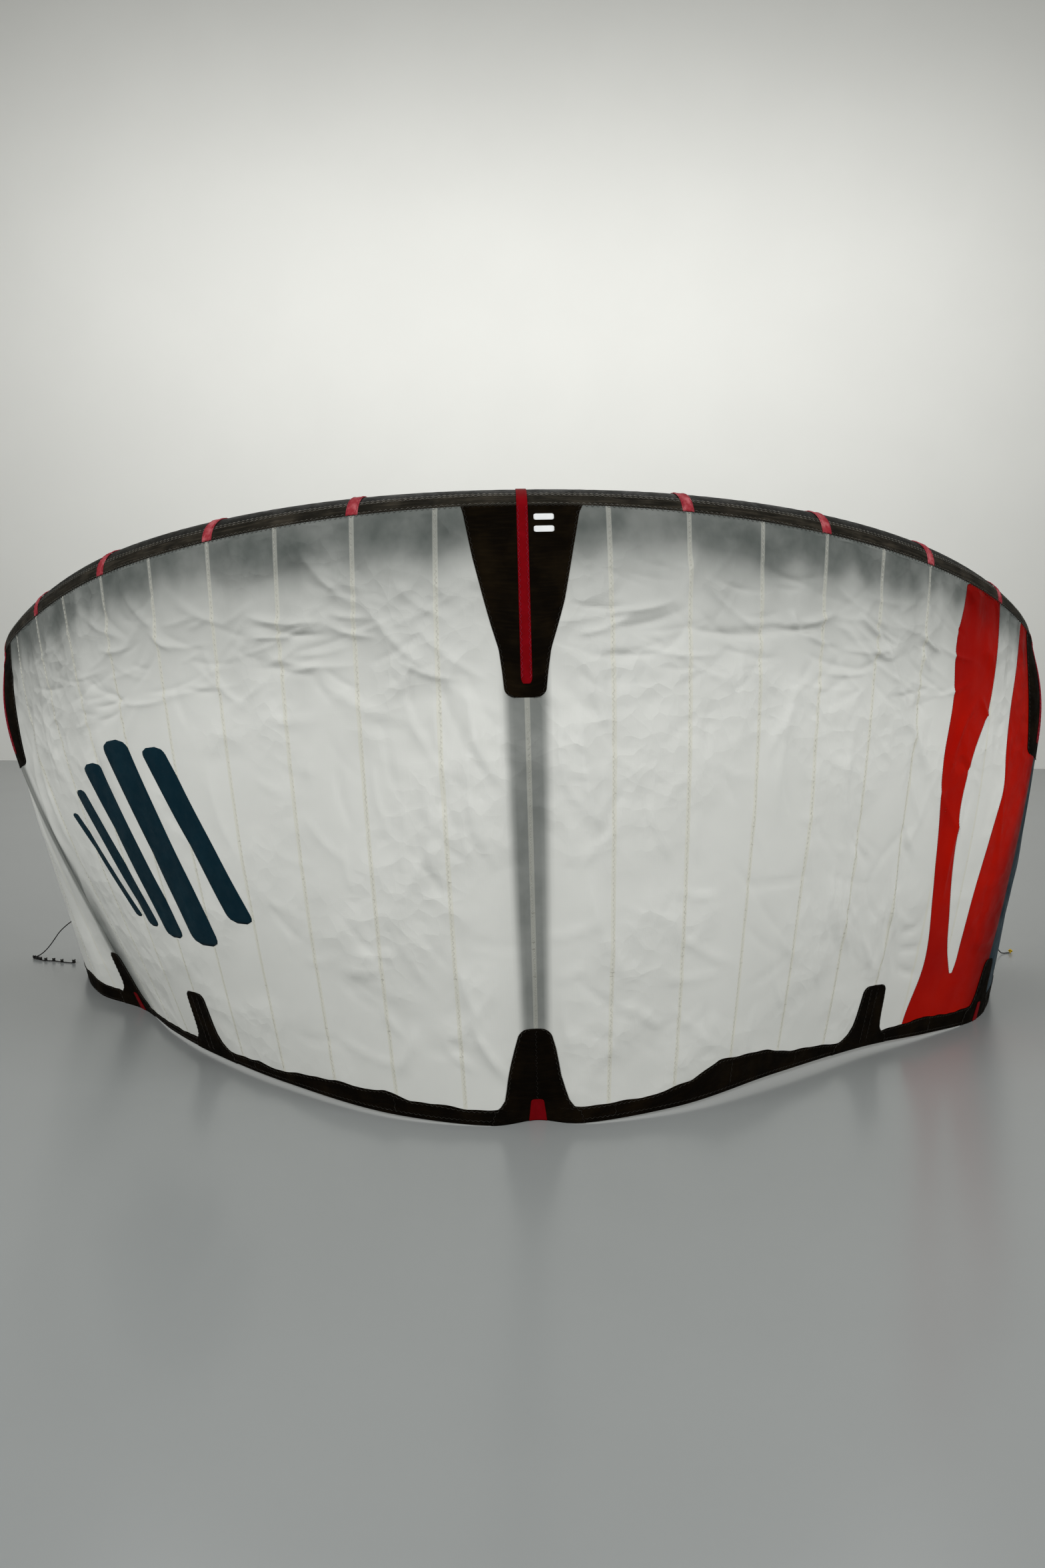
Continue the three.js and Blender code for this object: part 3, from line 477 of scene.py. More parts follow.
FINE_CREASES = random_creases()


def relief(seam, share):
    whole = pleat_relief(seam, share) + wave_relief(seam, share) + billow_relief(seam, share)
    whole += crease_relief(seam, share, CREASES) * CREASE_STRENGTH
    whole += crease_relief(seam, share, FINE_CREASES) * FINE_STRENGTH
    return whole * smooth(share, 0.0, 0.05) * (1 - smooth(share, 0.965, 1.0))


def cloth_point(seam, share, lift):
    seam, share, lift = np.broadcast_arrays(
        np.asarray(seam, float), np.asarray(share, float), np.asarray(lift, float))
    height = (lift + relief(seam, share))[..., None]
    points = canopy_base(seam, share) + canopy_normal(seam, share) * height
    points[..., 2] = np.maximum(points[..., 2], FLOOR_CLEARANCE)
    return points


# Painted shade on the cloth, from 0 to 1: where the dark tube and struts lie behind the thin cloth, and
# beside each outer strut

# Painted shade under the tube. Columns: share of the way down, strength
TUBE_SHADE = np.array([
    (0.0, 0.93), (0.08, 0.95), (0.1, 0.87), (0.125, 0.62), (0.15, 0.44), (0.19, 0.32), (0.25, 0.2),
    (0.33, 0.06), (0.42, 0.0),
])

# Painted shade along the struts: half width at the top, how much of it is lost by the foot, and strength
CENTRE_SHADE = (0.05, 0.022, 0.8)
OUTER_SHADE = (0.044, 0.02, 0.7)

# Painted shade beside each outer strut: its width at the wedge and at the foot, and its strength
RIDGE_SHADE = (0.05, 0.22, 0.95)


def strut_shade(seam, share, middle, shade):
    at_top, narrowing, strength = shade
    half = at_top - narrowing * share
    aside = np.abs(seam - middle) * SEAM_LENGTH
    return strength * (1 - smooth(aside, half - 0.014, half + 0.012))


def ridge_shade(seam, share):
    narrow, wide, strength = RIDGE_SHADE
    width = narrow + (wide - narrow) * smooth(share, 0.34, 0.9)
    inwards = (OUTER_STRUT - np.abs(seam)) * SEAM_LENGTH
    across = smooth(inwards, -0.012, 0.004) * (1 - smooth(inwards, 0.1 * width, width))
    return strength * smooth(share, 0.3, 0.5) * across


def painted_show_through_shade(seam, share):
    x = seam * SEAM_LENGTH
    # The painted shade's lower edge wanders across the cloth and moves with the pleats' relief
    wander = 0.007 * np.sin(6 * x + 0.6) + 0.006 * np.sin(17 * x + 2) + 0.004 * np.sin(43 * x)
    pleated = 0.018 * np.clip(pleat_relief(seam, share) / (5 * MM), -1, 1.2)
    painted_tube_shade = np.interp(share + wander + pleated, TUBE_SHADE[:, 0], TUBE_SHADE[:, 1])
    shades = [strut_shade(seam, share, -0.005, CENTRE_SHADE)]
    shades += [strut_shade(seam, share, side * OUTER_STRUT, OUTER_SHADE) for side in (-1, 1)]
    return np.maximum.reduce([painted_tube_shade, *shades, ridge_shade(seam, share)])


# Meshes

def add_mesh(name, points, faces, materials, uvs=None, shade=None, face_slots=None):
    mesh = bpy.data.meshes.new(name)
    mesh.from_pydata(points.tolist(), [], faces.tolist() if hasattr(faces, "tolist") else faces)
    for material in materials:
        mesh.materials.append(material)
    mesh.shade_smooth()
    if uvs is not None:
        layer = mesh.uv_layers.new(name="cloth")
        corner = np.empty(len(mesh.loops), int)
        mesh.loops.foreach_get("vertex_index", corner)
        layer.data.foreach_set("uv", np.asarray(uvs, float)[corner].ravel())
    # Per-point painted shade, read by the cloth materials
    if shade is not None:
        attribute = mesh.attributes.new("painted_shade", "FLOAT", "POINT")
        attribute.data.foreach_set("value", np.asarray(shade, float))
    if face_slots is not None:
        mesh.polygons.foreach_set("material_index", np.asarray(face_slots, int))
    piece = bpy.data.objects.new(name, mesh)
    bpy.context.scene.collection.objects.link(piece)
    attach(piece, ROOT)
    return piece


def dressed(piece, slot, *nodes):
    if nodes:
        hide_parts(*nodes)
    return piece


def grid_faces(rows, columns, wrap=False):
    last = columns if wrap else columns - 1
    row, column = np.meshgrid(np.arange(rows - 1), np.arange(last), indexing="ij")
    here = row * columns
    below = here + columns
    after = (column + 1) % columns
    return np.stack([here + column, below + column, below + after, here + after], -1).reshape(-1, 4)


def tube_faces(rings, sides, flipped=False):
    around = grid_faces(rings, sides, wrap=True)
    if flipped:
        around = around[:, ::-1]
    first = list(range(sides))
    last = [(rings - 1) * sides + k for k in range(sides)]
    return [*around.tolist(), first, last[::-1]]


def closed_patch(outer, inner):
    rows, columns = outer.shape[:2]
    count = rows * columns
    top = grid_faces(rows, columns)
    bottom = top[:, ::-1] + count
    index = np.arange(count).reshape(rows, columns)
    ring = np.concatenate([index[0, ::-1], index[1:, 0], index[-1, 1:], index[-2:0:-1, -1]])
    after = np.roll(ring, -1)
    rim = np.stack([after, ring, ring + count, after + count], -1)
    return np.concatenate([outer.reshape(-1, 3), inner.reshape(-1, 3)]), np.concatenate([top, bottom, rim])


def patch_uv(outer):
    across = run_length(outer.transpose(1, 0, 2)).T
    return np.stack([across - across[:, -1:] / 2, run_length(outer)], -1)


def add_closed_sheet(name, outer, inner, material, slot, *nodes):
    points, faces = closed_patch(outer, inner)
    uv = patch_uv(outer).reshape(-1, 2)
    piece = add_mesh(name, points, faces, [material], np.concatenate([uv, uv]))
    return dressed(piece, slot, *nodes)


def rounded_rows(outline, rows, corner, at_top=False, at_bottom=False):
    top, bottom = outline[0, 0], outline[-1, 0]
    turn = corner / CHORD * (1 - np.cos(np.linspace(0, math.pi / 2, 7)))
    share = np.linspace(top, bottom, rows)
    if at_top:
        share = np.concatenate([share, top + turn])
    if at_bottom:
        share = np.concatenate([share, bottom - turn])
    share = np.unique(share)
    left = np.interp(share, outline[:, 0], outline[:, 1])
    right = np.interp(share, outline[:, 0], outline[:, 2])
    inset = np.zeros_like(share)
    for wanted, edge in ((at_top, share - top), (at_bottom, bottom - share)):
        if wanted:
            t = np.clip(1 - edge * CHORD / corner, 0, 1)
            inset = np.maximum(inset, corner / SEAM_LENGTH * (1 - np.sqrt(1 - t ** 2)))
    return share, left + inset, right - inset


def add_patch(name, seam, outline, mirrored, lift, material, slot, node, columns, corner, at_top, rows=44):
    share, left, right = rounded_rows(outline, rows, corner, at_top, not at_top)
    if mirrored:
        left, right = -right, -left
    t = np.concatenate([[0], np.linspace(PATCH_EDGE, 1 - PATCH_EDGE, columns), [1]])
    seams = seam + left[:, None] + (right - left)[:, None] * t[None, :]
    shares = np.repeat(share[:, None], len(t), 1)
    low = np.zeros_like(seams)
    low[:, [0, -1]] = 1
    low[0 if at_top else -1] = 1
    outer = cloth_point(seams, shares, lift - 0.5 * MM * low)
    inner = cloth_point(seams, shares, CLOTH_LIFT + 0.2 * MM)
    add_closed_sheet(name, outer, inner, material, slot, node)
    return (seam + left, share), (seam + right, share)


# Zigzag stitches: a thread that runs from side to side along a path

def even_path(point, normal, first, second, lift, step, dense_count):
    dense = np.linspace(0, 1, dense_count)
    k = np.linspace(0, 1, len(first))
    length = run_length(point(np.interp(dense, k, first), np.interp(dense, k, second), lift))
    count = max(3, int(length[-1] / step))
    even = np.interp(np.linspace(0, length[-1], count), length, dense)
    first, second = np.interp(even, k, first), np.interp(even, k, second)
    return point(first, second, lift), normal(first, second)


def path_on_cloth(seams, shares, lift, step=STITCH_STEP):
    return even_path(cloth_point, canopy_normal, seams, shares, lift, step, 400)


def path_on_tube(seams, degrees, lift):
    return even_path(tube_point, tube_normal, seams, degrees, lift, STITCH_STEP, 1500)


def thread_mesh(paths, width, radius):
    all_points, all_faces, base = [], [], 0
    for points, normals in paths:
        tangent = unit(np.gradient(points, axis=0))
        side = unit(np.cross(normals, tangent))
        swing = np.where(np.arange(len(points)) % 2 == 0, 0.5, -0.5)[:, None] * width
        middle = points + side * swing
        section = [middle - tangent * radius, middle + tangent * radius, middle + normals * radius * 1.6]
        all_points.append(np.stack(section, 1).reshape(-1, 3))
        all_faces.append(grid_faces(len(points), 3, wrap=True)[:, ::-1] + base)
        base += 3 * len(points)
    return np.concatenate(all_points), np.concatenate(all_faces)


def add_thread(name, paths, material, slot):
    width, radius = THREADS[name]
    points, faces = thread_mesh(paths, width * MM, radius * MM)
    points[:, 2] = np.maximum(points[:, 2], FLOOR_CLEARANCE)
    dressed(add_mesh(name, points, faces, [material]), slot)


# Materials

TAPE_COLOUR = (0.7, 0.69, 0.59)

# Half widths of a seam's tape, outside and inside its soft edge, in seam numbers
TAPE_EDGE = (0.0158, 0.0142)

# In metres: half a ripstop square and the width of its line, then the pitches of the weaves
RIPSTOP_HALF = 0.0025
RIPSTOP_LINE = 0.0005
WEAVE_PITCH = 0.0014
RIB_PITCH = 0.0022
PICK_PITCH = 0.0016


def new_material(name):
    material = bpy.data.materials.new(name)
    material.use_nodes = True
    tree = material.node_tree
    tree.nodes.clear()
    output = tree.nodes.new("ShaderNodeOutputMaterial")
    shader = tree.nodes.new("ShaderNodeBsdfPrincipled")
    place = tree.nodes.new("ShaderNodeNewGeometry").outputs["Position"]
    tree.links.new(shader.outputs[0], output.inputs["Surface"])
    return material, tree, shader, place


def feed(tree, socket, value):
    if isinstance(value, bpy.types.NodeSocket):
        tree.links.new(value, socket)
    elif socket.type == "RGBA":
        socket.default_value = (*value, 1.0)
    else:
        socket.default_value = value


def add_node(tree, kind, inputs, **settings):
    node = tree.nodes.new(kind)
    for key, value in settings.items():
        setattr(node, key, value)
    for key, value in inputs.items():
        feed(tree, node.inputs[key], value)
    return node


def math_node(tree, operation, *values, clamp=False):
    inputs = dict(enumerate(values))
    return add_node(tree, "ShaderNodeMath", inputs, operation=operation, use_clamp=clamp).outputs[0]


def product(tree, a, b):
    return math_node(tree, "MULTIPLY", a, b)


def ramp(tree, value, low, high, to_low=0.0, to_high=1.0):
    inputs = dict(enumerate((value, low, high, to_low, to_high)))
    return add_node(tree, "ShaderNodeMapRange", inputs, interpolation_type="SMOOTHSTEP").outputs[0]


def mix_colour(tree, share, a, b):
    node = add_node(tree, "ShaderNodeMix", {}, data_type="RGBA")
    for index, value in ((0, share), (6, a), (7, b)):
        feed(tree, node.inputs[index], value)
    return node.outputs[2]


def noise(tree, vector, scale, detail=3.0, roughness=0.55, distortion=0.0):
    inputs = {
        "Vector": vector, "Scale": scale, "Detail": detail, "Roughness": roughness,
        "Distortion": distortion}
    return add_node(tree, "ShaderNodeTexNoise", inputs).outputs[0]


def crinkle(tree, vector, scale):
    warp = add_node(tree, "ShaderNodeTexNoise", {"Vector": vector, "Scale": scale * 0.6})
    moves = {0: warp.outputs[1], "Scale": 1.1 / scale}
    move = add_node(tree, "ShaderNodeVectorMath", moves, operation="SCALE")
    shifted = add_node(tree, "ShaderNodeVectorMath", {0: vector, 1: move.outputs[0]}, operation="ADD")
    places = {"Vector": shifted.outputs[0], "Scale": scale}
    return add_node(tree, "ShaderNodeTexVoronoi", places, feature="F1").outputs["Distance"]


def bumped(tree, shader, heights):
    previous = None
    for height, strength, distance in heights:
        inputs = {"Strength": strength, "Distance": distance, "Height": height}
        if previous is not None:
            inputs["Normal"] = previous
        previous = add_node(tree, "ShaderNodeBump", inputs).outputs[0]
    tree.links.new(previous, shader.inputs["Normal"])


def weave_height(tree, across, along, pitch, other_pitch):
    warp = math_node(tree, "SINE", product(tree, across, 2 * math.pi / pitch))
    weft = math_node(tree, "SINE", product(tree, along, 2 * math.pi / other_pitch))
    return product(tree, warp, weft)


def cloth_uv(tree):
    uv = add_node(tree, "ShaderNodeUVMap", {}, uv_map="cloth").outputs[0]
    split = add_node(tree, "ShaderNodeSeparateXYZ", {0: uv})
    return uv, split.outputs[0], split.outputs[1]


def streaks_down(tree, across, along, across_scale, along_scale):
    places = {0: product(tree, across, across_scale), 1: product(tree, along, along_scale)}
    return noise(tree, add_node(tree, "ShaderNodeCombineXYZ", places).outputs[0], 1.0, 3.0, 0.5, 0.6)


def set_shader(tree, shader, tone, rough, specular):
    for name, value in (("Base Color", tone), ("Roughness", rough), ("Specular IOR Level", specular)):
        feed(tree, shader.inputs[name], value)


def cloth_material(name, colour, dark, painted_shade_colour, light_through, specular, taped=False):
    material, tree, shader, place = new_material(name)
    _, seam, share = cloth_uv(tree)
    across = product(tree, seam, SEAM_LENGTH)
    along = product(tree, share, CHORD)
    # Painted shade: the per-point shade attribute, varied by noise, darkens the cloth towards its shade
    # colour where the tube and struts lie behind it
    painted_shade = add_node(tree, "ShaderNodeAttribute", {}, attribute_name="painted_shade").outputs["Fac"]
    tape = ramp(tree, math_node(tree, "PINGPONG", seam, 0.25), *TAPE_EDGE)
    streaked = ramp(tree, streaks_down(tree, across, along, 9.0, 4.0), 0.3, 0.7, 0.95, 1.03)
    cloudy = ramp(tree, noise(tree, place, 6.0, 4.0, 0.6), 0.3, 0.7, 0.93, 1.06)
    painted_shade_amount = product(tree, painted_shade, product(tree, cloudy, streaked))
    tone = mix_colour(tree, ramp(tree, noise(tree, place, 3.0, 3.0), 0.3, 0.7), colour, dark)
    # Tapes: their own colour, and their double cloth takes part of the painted shade away
    if taped:
        covered = ramp(tree, tape, 0.0, 1.0, 1.0, 0.72)
        painted_shade_amount = math_node(tree, "MULTIPLY", painted_shade_amount, covered, clamp=True)
        tone = mix_colour(tree, product(tree, tape, 0.6), tone, TAPE_COLOUR)
    tone = mix_colour(tree, math_node(tree, "MINIMUM", painted_shade_amount, 1.0), tone, painted_shade_colour)
    rough = ramp(tree, noise(tree, place, 21.0, 4.0), 0.3, 0.7, 0.36, 0.5)
    set_shader(tree, shader, tone, rough, specular)
    ripstop = math_node(tree, "MAXIMUM", *(
        ramp(tree, math_node(tree, "PINGPONG", way, RIPSTOP_HALF), 0.0, RIPSTOP_LINE, 1.0, 0.0)
        for way in (across, along)))
    clusters = ramp(tree, noise(tree, place, 2.4, 2.0), 0.44, 0.6, 0.1, 1.0)
    crumpled = product(tree, clusters, ramp(tree, share, 0.12, 0.45, 1.0, 0.45))
    gathered = ramp(tree, share, 0.05, 0.24, 1.0, 0.0)
    gathers = product(tree, streaks_down(tree, across, along, 15.0, 4.0), gathered)
    raised = math_node(tree, "ADD", ripstop, product(tree, tape, 3.0 if taped else 0.0))
    bumped(tree, shader, [
        (product(tree, crinkle(tree, place, 7.0), crumpled), 0.95, 0.018),
        (product(tree, crinkle(tree, place, 19.0), crumpled), 0.9, 0.0085),
        (gathers, 0.7, 0.009), (noise(tree, place, 45.0, 3.0, 0.5), 0.3, 0.0006), (raised, 0.25, 0.0002),
    ])
    glow = add_node(tree, "ShaderNodeBsdfTranslucent", {"Color": tone})
    parts = {0: light_through, 1: shader.outputs[0], 2: glow.outputs[0]}
    both = add_node(tree, "ShaderNodeMixShader", parts)
    tree.links.new(both.outputs[0], tree.get_output_node("ALL").inputs["Surface"])
    return material


def woven_material(name, colour, worn, roughness=0.55, streaks=0.5, specular=0.2):
    material, tree, shader, place = new_material(name)
    uv, across, along = cloth_uv(tree)
    stretched = add_node(tree, "ShaderNodeMapping", {"Vector": uv, "Scale": (14.0, 160.0, 1.0)})
    streak = ramp(tree, noise(tree, stretched.outputs[0], 1.0, 4.0), 0.42, 0.72)
    cloudy = ramp(tree, noise(tree, place, 12.0, 4.0), 0.4, 0.75)
    wear = product(tree, math_node(tree, "ADD", product(tree, streak, streaks), cloudy), 0.5)
    weave = weave_height(tree, across, along, WEAVE_PITCH, WEAVE_PITCH)
    tone = mix_colour(tree, wear, colour, worn)
    tone = mix_colour(tree, ramp(tree, weave, -1.0, 1.0, 0.0, 0.15), tone, worn)
    rough = ramp(tree, noise(tree, place, 30.0, 3.0), 0.3, 0.7, roughness - 0.1, roughness + 0.1)
    set_shader(tree, shader, tone, rough, specular)
    bumped(tree, shader, [
        (crinkle(tree, place, 30.0), 0.3, 0.002), (noise(tree, place, 90.0, 3.0), 0.25, 0.0006),
        (weave, 0.35, 0.0003),
    ])
    return material


def webbing_material(name, colour, worn, most_worn=0.55):
    material, tree, shader, place = new_material(name)
    _, across, along = cloth_uv(tree)
    weave = weave_height(tree, across, along, RIB_PITCH, PICK_PITCH)
    wear = ramp(tree, noise(tree, place, 40.0, 4.0), 0.4, 0.7, 0.0, most_worn)
    tone = mix_colour(tree, wear, colour, worn)
    tone = mix_colour(tree, ramp(tree, weave, -1.0, 1.0, 0.0, 0.3), tone, worn)
    set_shader(tree, shader, tone, ramp(tree, weave, -1.0, 1.0, 0.5, 0.75), 0.08)
    bumped(tree, shader, [(noise(tree, place, 60.0, 3.0), 0.3, 0.0008), (weave, 0.5, 0.0004)])
    return material


def thread_material(name, colour, worn):
    material, tree, shader, place = new_material(name)
    tone = mix_colour(tree, ramp(tree, noise(tree, place, 120.0, 3.0), 0.35, 0.7), colour, worn)
    set_shader(tree, shader, tone, 0.6, 0.2)
    bumped(tree, shader, [(noise(tree, place, 900.0, 2.0), 0.4, 0.0002)])
    return material


# Each cloth's third colour is the painted shade colour it darkens to where the tube and struts lie behind it
CANOPY = cloth_material(
    "canopy cloth", (0.75, 0.757, 0.72), (0.715, 0.722, 0.685), (0.098, 0.11, 0.102),
    light_through=0.2, specular=0.35, taped=True)
RED = cloth_material(
    "red cloth", (0.42, 0.006, 0.001), (0.32, 0.003, 0.001), (0.17, 0.002, 0.001),
    light_through=0.12, specular=0.06)
NAVY = cloth_material(
    "navy cloth", (0.003, 0.024, 0.042), (0.002, 0.018, 0.03), (0.002, 0.012, 0.02),
    light_through=0.08, specular=0.12)
DACRON = woven_material("dark cloth", (0.0055, 0.0055, 0.0045), (0.02, 0.019, 0.015), specular=0.12)
STRIP = woven_material(
    "leading edge strip", (0.006, 0.0055, 0.004), (0.04, 0.034, 0.025), 0.6, streaks=1.2, specular=0.08)
PATCH = woven_material(
    "reinforcement cloth", (0.0018, 0.0013, 0.0008), (0.011, 0.007, 0.003), 0.7, specular=0.03)
STRUT = woven_material("strut cloth", (0.03, 0.032, 0.034), (0.075, 0.078, 0.08), 0.5)
WEBBING = webbing_material("red webbing", (0.14, 0.0003, 0.0018), (0.2, 0.001, 0.005))
BAND_WEBBING = webbing_material("worn red webbing", (0.22, 0.008, 0.015), (0.42, 0.11, 0.12), 0.9)
PRINT = woven_material(
    "navy print", (0.0012, 0.014, 0.023), (0.003, 0.022, 0.034), 0.5, streaks=0.3, specular=0.1)
WHITE_PRINT = woven_material("white print", (0.75, 0.76, 0.76), (0.6, 0.61, 0.61), 0.5, streaks=0.2)
PALE_THREAD = thread_material("pale thread", (0.26, 0.25, 0.22), (0.15, 0.145, 0.125))
DARK_THREAD = thread_material("dark thread", (0.055, 0.052, 0.046), (0.03, 0.028, 0.024))
YELLOW_THREAD = thread_material("yellowish thread", (0.74, 0.73, 0.64), (0.76, 0.76, 0.7))
HOLE_THREAD = thread_material("stretched stitch holes", (0.16, 0.14, 0.1), (0.3, 0.28, 0.2))
PINK_THREAD = thread_material("pink thread", (0.42, 0.05, 0.09), (0.3, 0.02, 0.05))
CRIMSON_THREAD = thread_material("crimson thread", (0.2, 0.002, 0.012), (0.12, 0.001, 0.006))
CORD = thread_material("dark cord", (0.008, 0.008, 0.008), (0.03, 0.029, 0.027))
YELLOW_CORD = thread_material("yellow cord", (0.62, 0.42, 0.02), (0.5, 0.3, 0.02))


# Camera

def add_camera():
    yaw, pitch, roll = (math.radians(a) for a in (CAMERA_YAW, CAMERA_PITCH, CAMERA_ROLL))
    turn = Matrix.Rotation(yaw, 3, "Z") @ Matrix.Rotation(pitch, 3, "X") @ Matrix.Rotation(roll, 3, "Y")
    to_view = Matrix(((1, 0, 0), (0, 0, -1), (0, 1, 0)))
    data = bpy.data.cameras.new("camera")
    data.sensor_width = SENSOR
    data.lens = SENSOR * FOCAL_SHARE
    camera = bpy.data.objects.new("camera", data)
    camera.matrix_world = Matrix.Translation(CAMERA_PLACE) @ (turn @ to_view).to_4x4()
    bpy.context.scene.collection.objects.link(camera)
    bpy.context.scene.camera = camera


# The lines at the tips, with their knots

def smooth_route(points, per_span=6):
    rows = with_ends(MM * np.array(points, float))
    t = (np.arange(per_span) / per_span)[:, None]
    spans = [cubic(*rows[k:k + 4], t)[0] for k in range(len(rows) - 3)]
    return np.vstack([*spans, rows[-2]])


def add_curve(name, points, radius, material):
    data = bpy.data.curves.new(name, "CURVE")
    data.dimensions = "3D"
    data.bevel_depth = radius
    data.bevel_resolution = 3
    data.use_fill_caps = True
    spline = data.splines.new("POLY")
    spline.points.add(len(points) - 1)
    for point, place in zip(spline.points, points):
        point.co = (*place, 1)
    data.materials.append(material)
    piece = bpy.data.objects.new(name, data)
    bpy.context.scene.collection.objects.link(piece)
    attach(piece, ROOT)
    return piece


def add_knot(name, place, direction, size, material, slot, *nodes):
    t = np.linspace(0, 2 * math.pi, KNOT_TURNS, endpoint=False)
    loop = np.stack([np.sin(t) + 2 * np.sin(2 * t), np.cos(t) - 2 * np.cos(2 * t), -np.sin(3 * t)], -1)
    loop *= size * np.array([0.23, 0.23, 0.42])
    ahead = unit(np.array([direction[0], direction[1], 0.0]))
    side = np.array([-ahead[1], ahead[0], 0.0])
    loop = loop @ np.stack([side, np.array([0.0, 0.0, 1.0]), ahead])
    tangent = unit(np.roll(loop, -1, 0) - np.roll(loop, 1, 0))
    normal = unit(loop - (loop * tangent).sum(-1, keepdims=True) * tangent)
    other = np.cross(tangent, normal)
    angle = np.linspace(0, 2 * math.pi, KNOT_SIDES, endpoint=False)[None, :, None]
    ring = normal[:, None] * np.cos(angle) + other[:, None] * np.sin(angle)
    points = (loop[:, None] + size * 0.27 * ring).reshape(-1, 3)
    points -= [0, 0, points[:, 2].min()]
    points += [place[0], place[1], FLOOR_CLEARANCE]
    row, column = np.meshgrid(np.arange(KNOT_TURNS), np.arange(KNOT_SIDES), indexing="ij")
    here, below = row * KNOT_SIDES, (row + 1) % KNOT_TURNS * KNOT_SIDES
    after = (column + 1) % KNOT_SIDES
    faces = np.stack([here + column, here + after, below + after, below + column], -1).reshape(-1, 4)
    return dressed(add_mesh(name, points, faces, [material]), slot, *nodes)


def add_tip_line(side, route, knot_shares, end_material, end_slot):
    path = smooth_route(route)
    line = add_curve(f"tip_line_{side}_cord", path, LINE_RADIUS, CORD)
    dressed(line, "dark_cord", f"tip_line_{side}")
    ahead = path[-1] - path[-3]
    beyond = path[-1] + unit(ahead) * END_KNOT / 2
    name = f"tip_line_{side}"
    knots = [add_knot(f"{name}_end_knot", beyond, ahead, END_KNOT, end_material, end_slot, f"{name}_knot")]
    for number, share in enumerate(knot_shares, 1):
        index = int(share * (len(path) - 1))
        ahead = path[index + 1] - path[index]
        knots.append(add_knot(f"{name}_knot_{number}", path[index], ahead, KNOT, CORD, "dark_cord"))


# The canopy: one sheet from tip to tip

def edge_at(edge, shares):
    places, seams = np.array(edge, float).T
    if len(places) == 1:
        return np.full(len(shares), seams[0])
    slopes = np.gradient(seams, places)
    index = np.clip(np.searchsorted(places, shares, side="right") - 1, 0, len(places) - 2)
    width = places[index + 1] - places[index]
    t = (shares - places[index]) / width
    rise = seams[index + 1] - seams[index]
    first, last = slopes[index] * width, slopes[index + 1] * width
    bend = (3 * rise - 2 * first - last) * t ** 2 + (first + last - 2 * rise) * t ** 3
    return seams[index] + first * t + bend


# Bands of the sheet: left edge, right edge, material slot and number of columns
CANOPY_BANDS = [
    ([(0, -TIP)], [(0, -OUTER_STRUT)], 0, 46),
    ([(0, -OUTER_STRUT)], [(0, BATTEN)], 0, 364),
    ([(0, BATTEN)], RED_START, 0, 22),
    (RED_START, WHITE_START, 1, 24),
    (WHITE_START, WHITE_END, 0, 22),
    (WHITE_END, [(0, OUTER_STRUT)], 1, 32),
    ([(0, OUTER_STRUT)], [(0, TIP)], 2, 46),
]
WHITE_BAND = 4
CANOPY_ROWS = 176

# Closer rows where the cloth is creased most: share of the rows, share of the way down
CANOPY_ROW_PLACES = np.array([(0.0, 0.0), (0.17, 0.1), (0.54, 0.31), (1.0, 1.0)])


def banded_grid(shares):
    seams, slots = [], []
    for number, (start, end, slot, count) in enumerate(CANOPY_BANDS):
        left, right = edge_at(start, shares), edge_at(end, shares)
        t = np.arange(count) / count
        seams.append(left[:, None] + (right - left)[:, None] * t[None, :])
        band = np.full((len(shares) - 1, count), slot)
        if number == WHITE_BAND:
            band[shares[:-1] >= WHITE_BOTTOM] = 1
        slots.append(band)
    seams.append(np.full((len(shares), 1), float(TIP)))
    return np.concatenate(seams, 1), np.concatenate(slots, 1)


def add_canopy():
    row_share, place = CANOPY_ROW_PLACES.T
    shares = np.interp(np.linspace(0, 1, CANOPY_ROWS), row_share, place)
    shares[np.argmin(np.abs(shares - WHITE_BOTTOM))] = WHITE_BOTTOM
    seams, face_slots = banded_grid(shares)
    downs = np.repeat(shares[:, None], seams.shape[1], 1)
    points = cloth_point(seams, downs, CLOTH_LIFT).reshape(-1, 3)
    uvs = np.stack([seams, downs], -1).reshape(-1, 2)
    # The canopy's points carry the painted shade of the tube and struts behind it
    piece = add_mesh(
        "canopy", points, grid_faces(*seams.shape), [CANOPY, RED, NAVY], uvs,
        painted_show_through_shade(seams, downs).ravel(), face_slots.ravel())
    nodes = [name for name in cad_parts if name.startswith("canopy_")]
    return dressed(piece, "canopy_cloth", *nodes)


# The leading edge, its strip and its webbing

TUBE_RINGS = 22
TUBE_SIDES = 72
MEAN_RADIUS = 75 * MM
JOINT_PINCH = 1.1 * MM
JOINT_WIDTH = 12 * MM
PUCKER = 0.35 * MM
CAP_RISE = 0.35

